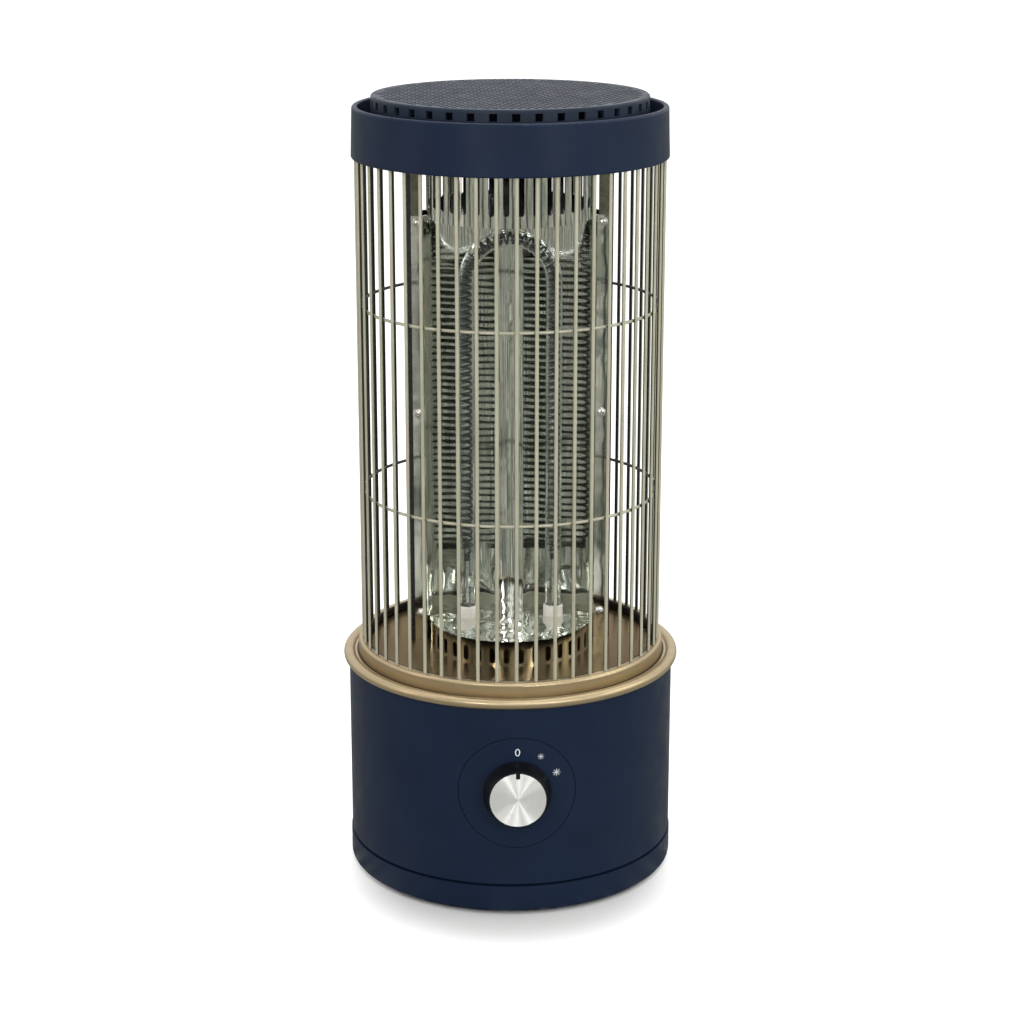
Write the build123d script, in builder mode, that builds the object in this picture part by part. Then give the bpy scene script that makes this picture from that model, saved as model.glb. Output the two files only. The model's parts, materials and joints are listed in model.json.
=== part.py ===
"""Round cage-type quartz heater, in millimetres.

The origin is on the floor under the middle of the base, +Z is up and the knob faces -Y.
Heights are counted from the floor upwards: feet, plinth, housing, cage, cap.
"""
from build123d import *
from math import cos, pi, sin, sqrt
import os

os.makedirs("parts", exist_ok=True)

# Base
base_radius = 110.6
base_wall = 3.4
housing_height = 123.2
ledge_thickness = 3.0
ledge_reach = 5.2
foot_height = 2.0
foot_radius = 6.0
foot_recess = 1.5
foot_inset = 10.6
foot_count = 8
plinth_height = 18.2
plinth_overhang = 0.6
plinth_wall = 3.0
plinth_floor = 3.0
parting_gap = 1.6

# Trim and floor of the cage
collar_bulge = 3.7
collar_height = 6.9
bead_width = 7.6
groove_width = 2.7
groove_floor = 5.0
foot_ring_rise = 15.0
foot_ring_width = 6.8
wire_inset = 3.6
pan_rise = 9.7
pan_sheet = 1.2

# Cage
cage_height = 326.5
wire_diameter = 2.4
guard_wire_diameter = 2.0
wire_count = 50
wire_seat = 8.0
guard_ring_low = 104.0
guard_ring_high = 229.5

# Cap
cap_step = 7.0
cap_draft = 1.0
cap_height = 33.0
cap_rim = 3.6
plate_recess = 1.6
plate_sheet = 1.6
plate_screw_inset = 10.4
shelf_height = 22.5
shelf_thickness = 2.5
shelf_reach = 16.4
grille_gap = 8.8
grille_wall = 2.0
grille_height = 17.5
grille_hole = 5.0
grille_hole_count = 40

# Slotted drums and dishes
drum_gap = 2.15
drum_lip = 4.0
drum_flange = 8.0
plate_opening_inset = 7.0
sheet = 0.8
slot_width = 4.0
slot_count = 36
upper_drum_height = 40.4
upper_slot_length = 29.0
upper_band = 7.3
lower_drum_height = 16.6
lower_slot_length = 10.6
lower_band = 1.1

# Reflector and the shield behind it
trough_shift = 0.7
trough_y = -15.3
trough_radius = 32.3
ridge_gap = 0.7
flange_width = 8.0
flange_screw_inset = 3.85
shield_margin = 2.7
shield_side_depth = 14.0
shield_depth = 46.0
flange_screw_heights = (19.3, 159.8, 288.3)

# Element
tube_radius = 5.5
tube_wall = 1.0
leg_x = 29.4
leg_y = 4.0
leg_length = 244.3
leg_lift = 3.3
coil_radius = 3.4
coil_wire_radius = 0.55
coil_turns = 98
coil_start = 61.0
ferrule_radius = 6.8
ferrule_height = 23.8
pin_radius = 1.0

# Dial and knob
dial_height = 86.5
dial_radius = 38.25
dial_thickness = 1.9
dial_groove = 0.4
bushing_radius = 4.7
shaft_radius = 3.0
knob_radius = 22.4
knob_face_radius = 18.9
knob_depth = 11.3
knob_gap = 0.6

# Clearances
slide_gap = 0.3
fit_gap = 0.1
running_gap = 0.06
weld_gap = 0.05

# Fasteners
screw_radius = 1.5
screw_head_radius = 3.0
screw_head_height = 2.0
plinth_screw_radius = 1.75
plinth_screw_head = 3.2
plinth_screw_head_height = 2.5
plinth_screw_length = 22.0
nut_circle = 3.1
nut_thickness = 2.4

# Levels above the floor
plinth_bottom = foot_height
plinth_top = plinth_bottom + plinth_height
housing_bottom = plinth_top + parting_gap
housing_top = housing_bottom + housing_height
pan_top = housing_top + pan_rise
foot_ring_top = housing_top + foot_ring_rise
cap_bottom = foot_ring_top + cage_height
plate_bottom = cap_bottom + plate_recess
plate_top = plate_bottom + plate_sheet
cap_top = cap_bottom + cap_height
shelf_top = cap_bottom + shelf_height
drum_bottom = plate_bottom - upper_drum_height
reflector_top = drum_bottom - slide_gap
leg_bottom = pan_top + leg_lift
arch_level = leg_bottom + leg_length

# Radii that follow from the base outwards in
collar_radius = base_radius + collar_bulge
foot_ring_outer_radius = collar_radius - bead_width - groove_width
foot_ring_inner_radius = foot_ring_outer_radius - foot_ring_width
ledge_inner_radius = foot_ring_inner_radius - ledge_reach
cage_radius = foot_ring_outer_radius - wire_inset
foot_circle = base_radius - foot_inset
cap_radius = base_radius - cap_step
cap_inner_radius = cap_radius - cap_draft - cap_rim
shelf_inner_radius = cap_inner_radius - shelf_reach
grille_radius = cap_inner_radius - grille_gap

# Widths that follow from the element outwards
trough_x = leg_x - trough_shift
flange_inner_x = trough_x + sqrt(trough_radius**2 - trough_y**2)
flange_half_width = flange_inner_x + flange_width
flange_screw_x = flange_inner_x + flange_screw_inset
shield_half_width = flange_half_width + shield_margin
drum_radius = flange_inner_x - drum_gap
plate_opening = drum_radius - plate_opening_inset

wire_radius = wire_diameter / 2
guard_wire_radius = guard_wire_diameter / 2
wire_step = 360 / wire_count
front = -90.0


def slotted(radius, length, level):
    """One obround cutter that points out of the front of a drum, centred at the given level."""
    with BuildPart() as cutter:
        with BuildSketch(Plane.XZ.offset(radius - 4 * sheet)):
            with Locations((0, level)):
                SlotOverall(length, slot_width, rotation=90)
        extrude(amount=8 * sheet)
    return cutter.part


def pan_head(radius, height, shank_radius, shank_length):
    """A screw that stands on its head: head from 0 up to its height, then the shank."""
    with BuildPart() as screw:
        with BuildSketch():
            Circle(radius)
        extrude(amount=height)
        fillet(screw.edges().sort_by(Axis.Z)[0], height / 3)
        with BuildSketch(Plane.XY.offset(height)):
            Circle(shank_radius)
        extrude(amount=shank_length)
    return screw.part


def save(piece, name):
    piece.part.label = name
    export_step(piece.part, f"parts/{name}.step")


# Base housing: a round wall with a ledge inside its top edge that carries the cage
housing_inner = base_radius - base_wall
boss_radius = 5.0
boss_circle = housing_inner - boss_radius + slide_gap
boss_height = 28.0
boss_floor = 6.0
plinth_screw_angle = -60.5
pad_radius = 17.0
pad_depth = 4.2
pad_y = pad_depth - housing_inner
gland_height = 36.0
gland_radius = 6.9
gland_flange = 10.0
gland_recess = 1.0
gland_seat = base_radius - gland_recess
ring_screw_count = 5
ring_screw_start = front + wire_step / 2
wall_cut = 30.0

with BuildPart() as dial_recess:
    with BuildSketch(Plane.XZ.offset(base_radius - wall_cut / 2)):
        with Locations((0, dial_height)):
            Circle(dial_radius + dial_groove)
    extrude(amount=wall_cut)
    with BuildSketch() as recess_floor:
        Circle(base_radius - dial_thickness - weld_gap)
    extrude(amount=housing_top, mode=Mode.SUBTRACT)

with BuildPart() as base_housing:
    with BuildSketch(Plane.XZ):
        with BuildLine():
            Polyline(
                (housing_inner, housing_bottom),
                (base_radius, housing_bottom),
                (base_radius, housing_top),
                (ledge_inner_radius, housing_top),
                (ledge_inner_radius, housing_top - ledge_thickness),
                (housing_inner, housing_top - ledge_thickness),
                close=True,
            )
        make_face()
    revolve(axis=Axis.Z)
    with BuildSketch(Plane.XY.offset(housing_bottom)):
        with PolarLocations(boss_circle, 4, start_angle=plinth_screw_angle):
            Circle(boss_radius)
    extrude(amount=boss_height)
    with BuildSketch(Plane.XZ.offset(-pad_y)):
        with Locations((0, dial_height)):
            Circle(pad_radius)
    extrude(amount=housing_inner + pad_y + base_wall / 4)
    add(dial_recess.part, mode=Mode.SUBTRACT)
    with BuildSketch(Plane.XZ.offset(base_radius - wall_cut / 2)):
        with Locations((0, dial_height)):
            Circle(bushing_radius + fit_gap)
    extrude(amount=wall_cut, mode=Mode.SUBTRACT)
    with BuildSketch(Plane.XZ.offset(-gland_seat)):
        with Locations((0, gland_height)):
            Circle(gland_flange + slide_gap)
    extrude(amount=-wall_cut, mode=Mode.SUBTRACT)
    with BuildSketch(Plane.XZ.offset(wall_cut / 2 - base_radius)):
        with Locations((0, gland_height)):
            Circle(gland_radius + fit_gap)
    extrude(amount=-wall_cut, mode=Mode.SUBTRACT)
    with BuildSketch(Plane.XY.offset(housing_bottom)):
        with PolarLocations(boss_circle, 4, start_angle=plinth_screw_angle):
            Circle(plinth_screw_radius + fit_gap)
    extrude(amount=boss_height - boss_floor, mode=Mode.SUBTRACT)
    with BuildSketch(Plane.XY.offset(housing_top - ledge_thickness)):
        with PolarLocations(cage_radius, ring_screw_count, start_angle=ring_screw_start):
            Circle(screw_radius + fit_gap)
    extrude(amount=ledge_thickness, mode=Mode.SUBTRACT)
save(base_housing, "base_housing")

# Plinth: the lower cover, slightly wider, with a spigot that reaches up inside the housing
plinth_radius = base_radius + plinth_overhang
spigot_radius = housing_inner - slide_gap
spigot_wall = 2.4
spigot_rise = 4.0
plinth_edge = 2.5
counterbore_radius = 3.6
counterbore_depth = 8.0
vent_count = 16
vent_circle = 70.0
vent_length = 16.0
vent_width = 3.0
foot_start = front + 7
tip_x = -35.0
tip_y = 30.0
plunger_radius = 4.4

with BuildPart() as base_plinth:
    with BuildSketch(Plane.XZ):
        with BuildLine():
            Polyline(
                (0, plinth_bottom),
                (plinth_radius, plinth_bottom),
                (plinth_radius, plinth_top),
                (spigot_radius, plinth_top),
                (spigot_radius, plinth_top + parting_gap + spigot_rise),
                (spigot_radius - spigot_wall, plinth_top + parting_gap + spigot_rise),
                (spigot_radius - spigot_wall, plinth_bottom + plinth_floor),
                (0, plinth_bottom + plinth_floor),
                close=True,
            )
        make_face()
    revolve(axis=Axis.Z)
    fillet(base_plinth.edges().group_by(Axis.Z)[0], plinth_edge)
    with BuildSketch(Plane.XY.offset(housing_bottom)):
        with PolarLocations(boss_circle, 4, start_angle=plinth_screw_angle):
            Circle(boss_radius + slide_gap)
    extrude(amount=spigot_rise, mode=Mode.SUBTRACT)
    with BuildSketch(Plane.XY.offset(plinth_bottom + plinth_floor)):
        with PolarLocations(boss_circle, 4, start_angle=plinth_screw_angle):
            Circle(boss_radius)
    extrude(amount=housing_bottom - plinth_bottom - plinth_floor)
    with Locations(Plane.XY.offset(plinth_bottom).rotated((180, 0, 0))):
        with PolarLocations(boss_circle, 4, start_angle=-plinth_screw_angle):
            CounterBoreHole(plinth_screw_radius + fit_gap, counterbore_radius, counterbore_depth)
    with BuildSketch(Plane.XY.offset(plinth_bottom)):
        with PolarLocations(foot_circle, foot_count, start_angle=foot_start):
            Circle(foot_radius + fit_gap)
    extrude(amount=foot_recess, mode=Mode.SUBTRACT)
    with BuildSketch(Plane.XY.offset(plinth_bottom)):
        with PolarLocations(vent_circle, vent_count):
            SlotOverall(vent_length, vent_width)
        with Locations((tip_x, tip_y)):
            Circle(plunger_radius + slide_gap)
    extrude(amount=plinth_floor, mode=Mode.SUBTRACT)
save(base_plinth, "base_plinth")

# Feet: rubber pads in round pockets under the plinth
with BuildPart() as rubber_feet:
    with BuildSketch():
        with PolarLocations(foot_circle, foot_count, start_angle=foot_start):
            Circle(foot_radius)
    extrude(amount=foot_height + foot_recess)
    chamfer(rubber_feet.edges().group_by(Axis.Z)[0], foot_height / 4)
save(rubber_feet, "rubber_feet")

# Plinth screws: heads deep in the counterbores, shanks up in the housing's bosses
plinth_screw = pan_head(plinth_screw_head, plinth_screw_head_height, plinth_screw_radius, plinth_screw_length)
plinth_screw_bottom = plinth_bottom + counterbore_depth - plinth_screw_head_height
with BuildPart() as plinth_screws:
    with PolarLocations(boss_circle, 4, start_angle=plinth_screw_angle):
        add(Pos(0, 0, plinth_screw_bottom) * plinth_screw)
save(plinth_screws, "plinth_screws")

# Gold collar: the bead round the top edge of the base, with a groove inside it
bead_foot = 2.5
bead_crown = 3.3
bead_shoulder = 6.1
bead_drop = 0.5
with BuildPart() as gold_collar:
    with BuildSketch(Plane.XZ):
        with BuildLine():
            Polyline(
                (foot_ring_outer_radius + fit_gap, housing_top + groove_floor),
                (foot_ring_outer_radius + fit_gap, housing_top),
                (collar_radius - bead_foot, housing_top),
            )
            ThreePointArc(
                (collar_radius - bead_foot, housing_top),
                (collar_radius, housing_top + collar_height / 2),
                (collar_radius - bead_crown, housing_top + collar_height),
            )
            ThreePointArc(
                (collar_radius - bead_crown, housing_top + collar_height),
                (collar_radius - bead_shoulder, housing_top + collar_height - bead_drop),
                (collar_radius - bead_width, housing_top + groove_floor),
            )
            Line(
                (collar_radius - bead_width, housing_top + groove_floor),
                (foot_ring_outer_radius + fit_gap, housing_top + groove_floor),
            )
        make_face()
    revolve(axis=Axis.Z)
save(gold_collar, "gold_collar")

# Cage foot ring: takes the lower ends of the wires in blind holes
foot_ring_rounding = 2.2
ring_screw_depth = 5.5
ring_screw_play = 0.5
with BuildPart() as cage_foot_ring:
    with BuildSketch(Plane.XZ):
        with BuildLine():
            Polyline(
                (foot_ring_inner_radius, housing_top),
                (foot_ring_outer_radius, housing_top),
                (foot_ring_outer_radius, foot_ring_top),
                (foot_ring_inner_radius, foot_ring_top),
                close=True,
            )
        make_face()
    revolve(axis=Axis.Z)
    top_edges = cage_foot_ring.edges().group_by(Axis.Z)[-1].sort_by(SortBy.LENGTH)
    fillet(top_edges[-1], foot_ring_rounding)
    fillet(top_edges[0], foot_ring_rounding / 2)
    with BuildSketch(Plane.XY.offset(foot_ring_top - wire_seat)):
        with PolarLocations(cage_radius, wire_count, start_angle=front):
            Circle(wire_radius + fit_gap)
    extrude(amount=wire_seat, mode=Mode.SUBTRACT)
    with BuildSketch(Plane.XY.offset(housing_top)):
        with PolarLocations(cage_radius, ring_screw_count, start_angle=ring_screw_start):
            Circle(screw_radius + weld_gap)
    extrude(amount=ring_screw_depth + ring_screw_play, mode=Mode.SUBTRACT)
save(cage_foot_ring, "cage_foot_ring")

# Foot ring screws: up through the ledge into the foot ring
ring_screw = pan_head(screw_head_radius, screw_head_height, screw_radius, ledge_thickness + ring_screw_depth)
with BuildPart() as foot_ring_screws:
    with PolarLocations(cage_radius, ring_screw_count, start_angle=ring_screw_start):
        add(Pos(0, 0, housing_top - ledge_thickness - screw_head_height) * ring_screw)
save(foot_ring_screws, "foot_ring_screws")

# Floor pan: a shallow inverted tray that stands on the ledge inside the foot ring
pan_radius = foot_ring_inner_radius - slide_gap
pan_rounding = 1.5
pin_hole_radius = pin_radius + 1.5
with BuildPart() as floor_pan:
    with BuildSketch(Plane.XY.offset(housing_top)):
        Circle(pan_radius)
    extrude(amount=pan_rise)
    fillet(floor_pan.edges().group_by(Axis.Z)[-1], pan_rounding)
    with BuildSketch(Plane.XY.offset(housing_top)):
        Circle(pan_radius - pan_sheet)
    extrude(amount=pan_rise - pan_sheet, mode=Mode.SUBTRACT)
    with BuildSketch(Plane.XY.offset(housing_top)):
        with Locations((leg_x, leg_y), (-leg_x, leg_y)):
            Circle(pin_hole_radius)
    extrude(amount=pan_rise, mode=Mode.SUBTRACT)
save(floor_pan, "floor_pan")

# Heat baffle: a plain disc under the pan, on three spacers
baffle_inset = 4.0
baffle_radius = ledge_inner_radius - baffle_inset
baffle_drop = 18.7
baffle_hole_radius = 5.0
spacer_radius = 4.0
spacer_wall = 1.5
spacer_inset = 13.0
spacer_circle = baffle_radius - spacer_inset
baffle_top = pan_top - baffle_drop + sheet
with BuildPart() as heat_baffle:
    with BuildSketch(Plane.XY.offset(baffle_top - sheet)):
        Circle(baffle_radius)
        with Locations((leg_x, leg_y), (-leg_x, leg_y)):
            Circle(baffle_hole_radius, mode=Mode.SUBTRACT)
    extrude(amount=sheet)
save(heat_baffle, "heat_baffle")

with BuildPart() as baffle_spacers:
    with BuildSketch(Plane.XY.offset(baffle_top)):
        with PolarLocations(spacer_circle, 3, start_angle=30):
            Circle(spacer_radius)
            Circle(spacer_radius - spacer_wall, mode=Mode.SUBTRACT)
    extrude(amount=pan_top - pan_sheet - baffle_top)
save(baffle_spacers, "baffle_spacers")

# Cage wires: upright rods from the foot ring to the top plate
wire_bottom = foot_ring_top - wire_seat
with BuildPart() as cage_wires:
    with BuildSketch(Plane.XY.offset(wire_bottom)):
        with PolarLocations(cage_radius, wire_count, start_angle=front):
            Circle(wire_radius)
    extrude(amount=plate_top - fit_gap - wire_bottom)
save(cage_wires, "cage_wires")

# Guard rings: two wire hoops welded to the inner side of the upright wires
guard_radius = cage_radius - wire_radius - guard_wire_radius - weld_gap
for name, rise in (("guard_ring_lower", guard_ring_low), ("guard_ring_upper", guard_ring_high)):
    with BuildPart() as guard_ring:
        with BuildSketch(Plane.XZ):
            with Locations((guard_radius, foot_ring_top + rise)):
                Circle(guard_wire_radius)
        revolve(axis=Axis.Z)
    save(guard_ring, name)

# Lower drum: a half round band of sheet in front of the reflector, with a row of slots
lower_slot_level = pan_top + lower_band + lower_slot_length / 2
with BuildPart() as lower_slotted_ring:
    with BuildSketch(Plane.XY.offset(pan_top)):
        Circle(drum_radius)
        Circle(drum_radius - sheet, mode=Mode.SUBTRACT)
        with Locations((0, drum_radius - slide_gap)):
            Rectangle(3 * drum_radius, 2 * drum_radius, mode=Mode.SUBTRACT)
    extrude(amount=lower_drum_height)
    with PolarLocations(0, slot_count // 2, start_angle=-(180 - 360 / slot_count) / 2, angular_range=180):
        add(slotted(drum_radius, lower_slot_length, lower_slot_level), mode=Mode.SUBTRACT)
save(lower_slotted_ring, "lower_slotted_ring")

# Lower dish: a bright inverted tray that closes the drum and runs back into the troughs
ridge_y = leg_y + tube_radius + ridge_gap
ridge_half_width = trough_x - sqrt(trough_radius**2 - (ridge_y - trough_y) ** 2)
dish_rim = 5.0
dish_drop = 0.4
lower_dish_top = pan_top + lower_drum_height - dish_drop
with BuildPart() as lower_dish:
    with BuildSketch(Plane.XY.offset(lower_dish_top)) as dish_outline:
        with Locations((0, -drum_radius - slide_gap)):
            Rectangle(2 * drum_radius, 2 * drum_radius)
        with Locations((trough_x, trough_y), (-trough_x, trough_y)):
            Circle(trough_radius - slide_gap)
        with Locations((0, 0)):
            Rectangle(2 * ridge_half_width, 2 * (ridge_y - slide_gap))
        Circle(drum_radius - sheet - fit_gap, mode=Mode.INTERSECT)
    extrude(amount=-dish_rim)
    with BuildSketch(Plane.XY.offset(lower_dish_top - sheet)):
        offset(dish_outline.sketch, amount=-sheet)
    extrude(amount=-dish_rim, mode=Mode.SUBTRACT)
    with BuildSketch(Plane.XY.offset(lower_dish_top)):
        with Locations((leg_x, leg_y), (-leg_x, leg_y)):
            Circle(ferrule_radius + slide_gap)
    extrude(amount=-sheet, mode=Mode.SUBTRACT)
save(lower_dish, "lower_dish")

# Upper drum: hangs from the top plate by a flange, with long slots above a plain band
drum_flange_radius = drum_radius + drum_flange
lip_radius = drum_radius - drum_lip
ceiling_screw_circle = drum_radius + drum_flange / 2
strap_foot = 12.0
upper_slot_level = drum_bottom + upper_band + upper_slot_length / 2
with BuildPart() as upper_slotted_ring:
    with BuildSketch(Plane.XZ):
        with BuildLine():
            Polyline(
                (lip_radius, drum_bottom),
                (drum_radius, drum_bottom),
                (drum_radius, plate_bottom - sheet),
                (drum_flange_radius, plate_bottom - sheet),
                (drum_flange_radius, plate_bottom),
                (drum_radius - sheet, plate_bottom),
                (drum_radius - sheet, drum_bottom + sheet),
                (lip_radius, drum_bottom + sheet),
                close=True,
            )
        make_face()
    revolve(axis=Axis.Z)
    with PolarLocations(0, slot_count, start_angle=180 / slot_count):
        add(slotted(drum_radius, upper_slot_length, upper_slot_level), mode=Mode.SUBTRACT)
    with BuildSketch(Plane.XY.offset(plate_bottom - sheet)):
        with PolarLocations(ceiling_screw_circle, 3, start_angle=90):
            Circle(screw_radius + fit_gap)
        for side in (1, -1):
            with Locations((side * (drum_radius + sheet + strap_foot / 2), strap_foot / 2 + sheet)):
                Rectangle(strap_foot, strap_foot + 4 * sheet)
    extrude(amount=sheet, mode=Mode.SUBTRACT)
save(upper_slotted_ring, "upper_slotted_ring")

# Upper dish: lies on the drum's inner lip and closes it towards the element
dish_bottom = drum_bottom + sheet
with BuildPart() as upper_dish:
    with BuildSketch(Plane.XY.offset(dish_bottom)):
        Circle(drum_radius - sheet - fit_gap)
    extrude(amount=dish_rim)
    with BuildSketch(Plane.XY.offset(dish_bottom + sheet)):
        Circle(drum_radius - 2 * sheet - fit_gap)
    extrude(amount=dish_rim, mode=Mode.SUBTRACT)
save(upper_dish, "upper_dish")

# Reflector: one bright sheet with two round troughs, a flat ridge between them and flat flanges
with BuildPart() as reflector:
    with BuildSketch(Plane.XY.offset(pan_top)):
        with Locations((trough_x, trough_y), (-trough_x, trough_y)):
            Circle(trough_radius + sheet)
        with Locations((trough_x, trough_y), (-trough_x, trough_y)):
            Circle(trough_radius, mode=Mode.SUBTRACT)
        with Locations((0, -trough_radius)):
            Rectangle(3 * flange_half_width, 2 * trough_radius, mode=Mode.SUBTRACT)
        with Locations((0, 0)):
            Rectangle(2 * trough_x, 2 * ridge_y, mode=Mode.SUBTRACT)
        with Locations((0, ridge_y + sheet / 2)):
            Rectangle(2 * ridge_half_width, sheet)
        flange_middle = (flange_half_width + flange_inner_x) / 2
        with Locations((flange_middle, sheet / 2), (-flange_middle, sheet / 2)):
            Rectangle(flange_width, sheet)
    extrude(amount=reflector_top - pan_top)
    with BuildSketch(Plane.XZ):
        for height in flange_screw_heights:
            with Locations((flange_screw_x, pan_top + height), (-flange_screw_x, pan_top + height)):
                Circle(screw_radius + fit_gap)
    extrude(amount=-2 * sheet, mode=Mode.SUBTRACT)
save(reflector, "reflector")

# Back shield: a deeper sheet behind the reflector, whose side straps run up to the top plate
shield_y = sheet + weld_gap
shield_arc_radius = (shield_half_width**2 + (shield_depth - shield_side_depth) ** 2) / (
    2 * (shield_depth - shield_side_depth)
)
strap_inner_x = trough_x + sqrt((trough_radius + sheet) ** 2 - trough_y**2) + fit_gap
strap_width = shield_half_width - strap_inner_x
strap_middle = (shield_half_width + strap_inner_x) / 2
with BuildPart() as back_shield:
    with BuildSketch(Plane.XY.offset(pan_top)):
        with Locations((0, shield_depth - shield_arc_radius)):
            Circle(shield_arc_radius)
            Circle(shield_arc_radius - sheet, mode=Mode.SUBTRACT)
        with Locations((0, shield_side_depth - shield_arc_radius)):
            Rectangle(3 * shield_arc_radius, 2 * shield_arc_radius, mode=Mode.SUBTRACT)
        with Locations(
            (shield_half_width - sheet / 2, (shield_side_depth + shield_y) / 2 + sheet / 4),
            (sheet / 2 - shield_half_width, (shield_side_depth + shield_y) / 2 + sheet / 4),
        ):
            Rectangle(sheet, shield_side_depth - shield_y + sheet / 2)
    extrude(amount=reflector_top - pan_top)
    with BuildSketch(Plane.XY.offset(pan_top)):
        with Locations((strap_middle, shield_y + sheet / 2), (-strap_middle, shield_y + sheet / 2)):
            Rectangle(strap_width, sheet)
    extrude(amount=plate_bottom - pan_top)
    with BuildSketch(Plane.XY.offset(plate_bottom - sheet)):
        with Locations(
            (strap_middle, shield_y + strap_foot / 2), (-strap_middle, shield_y + strap_foot / 2)
        ):
            Rectangle(strap_width, strap_foot)
        with Locations(
            (strap_middle, shield_y + strap_foot / 2), (-strap_middle, shield_y + strap_foot / 2)
        ):
            Circle(screw_radius + fit_gap, mode=Mode.SUBTRACT)
    extrude(amount=sheet)
    with BuildSketch(Plane.XZ):
        for height in flange_screw_heights:
            with Locations((flange_screw_x, pan_top + height), (-flange_screw_x, pan_top + height)):
                Circle(screw_radius + fit_gap)
    extrude(amount=-3 * sheet, mode=Mode.SUBTRACT)
save(back_shield, "back_shield")

# Foot brackets: small angles behind the straps that stand on the pan
bracket_y = shield_y + sheet + weld_gap
bracket_sheet = 1.2
bracket_width = 7.6
bracket_height = 27.0
bracket_depth = 11.0
bracket_shift = 1.2
bracket_start = flange_screw_x + bracket_shift - bracket_width / 2
with BuildPart() as foot_brackets:
    with BuildSketch(Plane.YZ.offset(bracket_start)):
        with BuildLine():
            Polyline(
                (bracket_y, pan_top),
                (bracket_y + bracket_depth, pan_top),
                (bracket_y + bracket_depth, pan_top + bracket_sheet),
                (bracket_y + bracket_sheet, pan_top + bracket_sheet),
                (bracket_y + bracket_sheet, pan_top + bracket_height),
                (bracket_y, pan_top + bracket_height),
                close=True,
            )
        make_face()
    extrude(amount=bracket_width)
    mirror(about=Plane.YZ)
    with BuildSketch(Plane.XZ):
        low = pan_top + flange_screw_heights[0]
        with Locations((flange_screw_x, low), (-flange_screw_x, low)):
            Circle(screw_radius + weld_gap)
    extrude(amount=-bracket_y - 2 * bracket_sheet, mode=Mode.SUBTRACT)
save(foot_brackets, "foot_brackets")

# Reflector screws: pan heads on the flanges, and nuts behind the upper four
flange_screw_length = 7.0
flange_screw = pan_head(screw_head_radius, screw_head_height, screw_radius, flange_screw_length)
with BuildPart() as reflector_screws:
    for height in flange_screw_heights:
        for x in (flange_screw_x, -flange_screw_x):
            add(Pos(x, -screw_head_height, pan_top + height) * Rot(-90, 0, 0) * flange_screw)
save(reflector_screws, "reflector_screws")

with BuildPart() as reflector_nuts:
    with BuildSketch(Plane.XZ.offset(-bracket_y)):
        for height in flange_screw_heights[1:]:
            with Locations((flange_screw_x, pan_top + height), (-flange_screw_x, pan_top + height)):
                RegularPolygon(nut_circle, 6)
                Circle(screw_radius + weld_gap, mode=Mode.SUBTRACT)
    extrude(amount=-nut_thickness)
save(reflector_nuts, "reflector_nuts")

# Quartz tube: one glass tube bent into an arch on two straight legs
with BuildPart() as quartz_tube:
    with BuildLine() as tube_path:
        Line((leg_x, leg_y, leg_bottom), (leg_x, leg_y, arch_level))
        ThreePointArc(
            (leg_x, leg_y, arch_level), (0, leg_y, arch_level + leg_x), (-leg_x, leg_y, arch_level)
        )
        Line((-leg_x, leg_y, arch_level), (-leg_x, leg_y, leg_bottom))
    with BuildSketch(Plane.XY.offset(leg_bottom)):
        with Locations((leg_x, leg_y)):
            Circle(tube_radius)
            Circle(tube_radius - tube_wall, mode=Mode.SUBTRACT)
    sweep(path=tube_path.wires()[0])
save(quartz_tube, "quartz_tube")

# Heating coil: a helix wound round the tube's centre line, up one leg, over the arch and down the other
coil_leg = leg_length - coil_start
coil_run = 2 * coil_leg + pi * leg_x


def tube_centre(run):
    """Point on the tube's centre line at a run along it, and the outward direction there."""
    if run < coil_leg:
        return Vector(leg_x, leg_y, arch_level - coil_leg + run), Vector(1, 0, 0)
    if run > coil_run - coil_leg:
        return Vector(-leg_x, leg_y, arch_level - (run - coil_run + coil_leg)), Vector(-1, 0, 0)
    turn = (run - coil_leg) / leg_x
    outward = Vector(cos(turn), 0, sin(turn))
    return Vector(0, leg_y, arch_level) + outward * leg_x, outward


def coil_point(turns):
    """Point of the coil after a number of turns: the centre plus its radius turned about the centre line."""
    centre, outward = tube_centre(turns * coil_run / coil_turns)
    angle = 2 * pi * turns
    return centre + outward * (coil_radius * cos(angle)) + Vector(0, 1, 0) * (coil_radius * sin(angle))


def coil_tangent(turns, step=0.001):
    """Direction of the coil, from two points close on both sides."""
    return (coil_point(turns + step) - coil_point(turns - step)).normalized()


def biarc(start, start_tangent, end, end_tangent):
    """Two arcs that meet smoothly and leave and arrive along the given tangents."""
    chord = end - start
    both = start_tangent + end_tangent
    bend = 2 * (1 - start_tangent.dot(end_tangent))
    reach = (sqrt(chord.dot(both) ** 2 + bend * chord.dot(chord)) - chord.dot(both)) / bend
    start_knee = start + start_tangent * reach
    end_knee = end - end_tangent * reach
    middle = (start_knee + end_knee) * 0.5
    first = TangentArc(start, middle, tangent=start_tangent, mode=Mode.PRIVATE)
    second = TangentArc(middle, end, tangent=end_knee - start_knee, mode=Mode.PRIVATE)
    return [first, second]


coil_edges = []
for quarter in range(4 * coil_turns):
    here = quarter / 4
    there = here + 1 / 4
    coil_edges += biarc(coil_point(here), coil_tangent(here), coil_point(there), coil_tangent(there))
coil_path = Wire(coil_edges)
with BuildPart() as heating_coil:
    with BuildSketch(Plane(origin=coil_point(0), z_dir=coil_tangent(0))):
        Circle(coil_wire_radius)
    sweep(path=coil_path)
save(heating_coil, "heating_coil")

samples = 24
coil_points = [coil_point(i / samples) for i in range(samples * coil_turns + 1)]
least = min(
    (coil_points[i] - coil_points[j]).length
    for i in range(0, len(coil_points), 3)
    for j in range(i + samples // 2, min(i + 2 * samples, len(coil_points)))
)
print(f"heating coil: {coil_turns} turns, least gap to itself {least - 2 * coil_wire_radius:.2f} mm")

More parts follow.
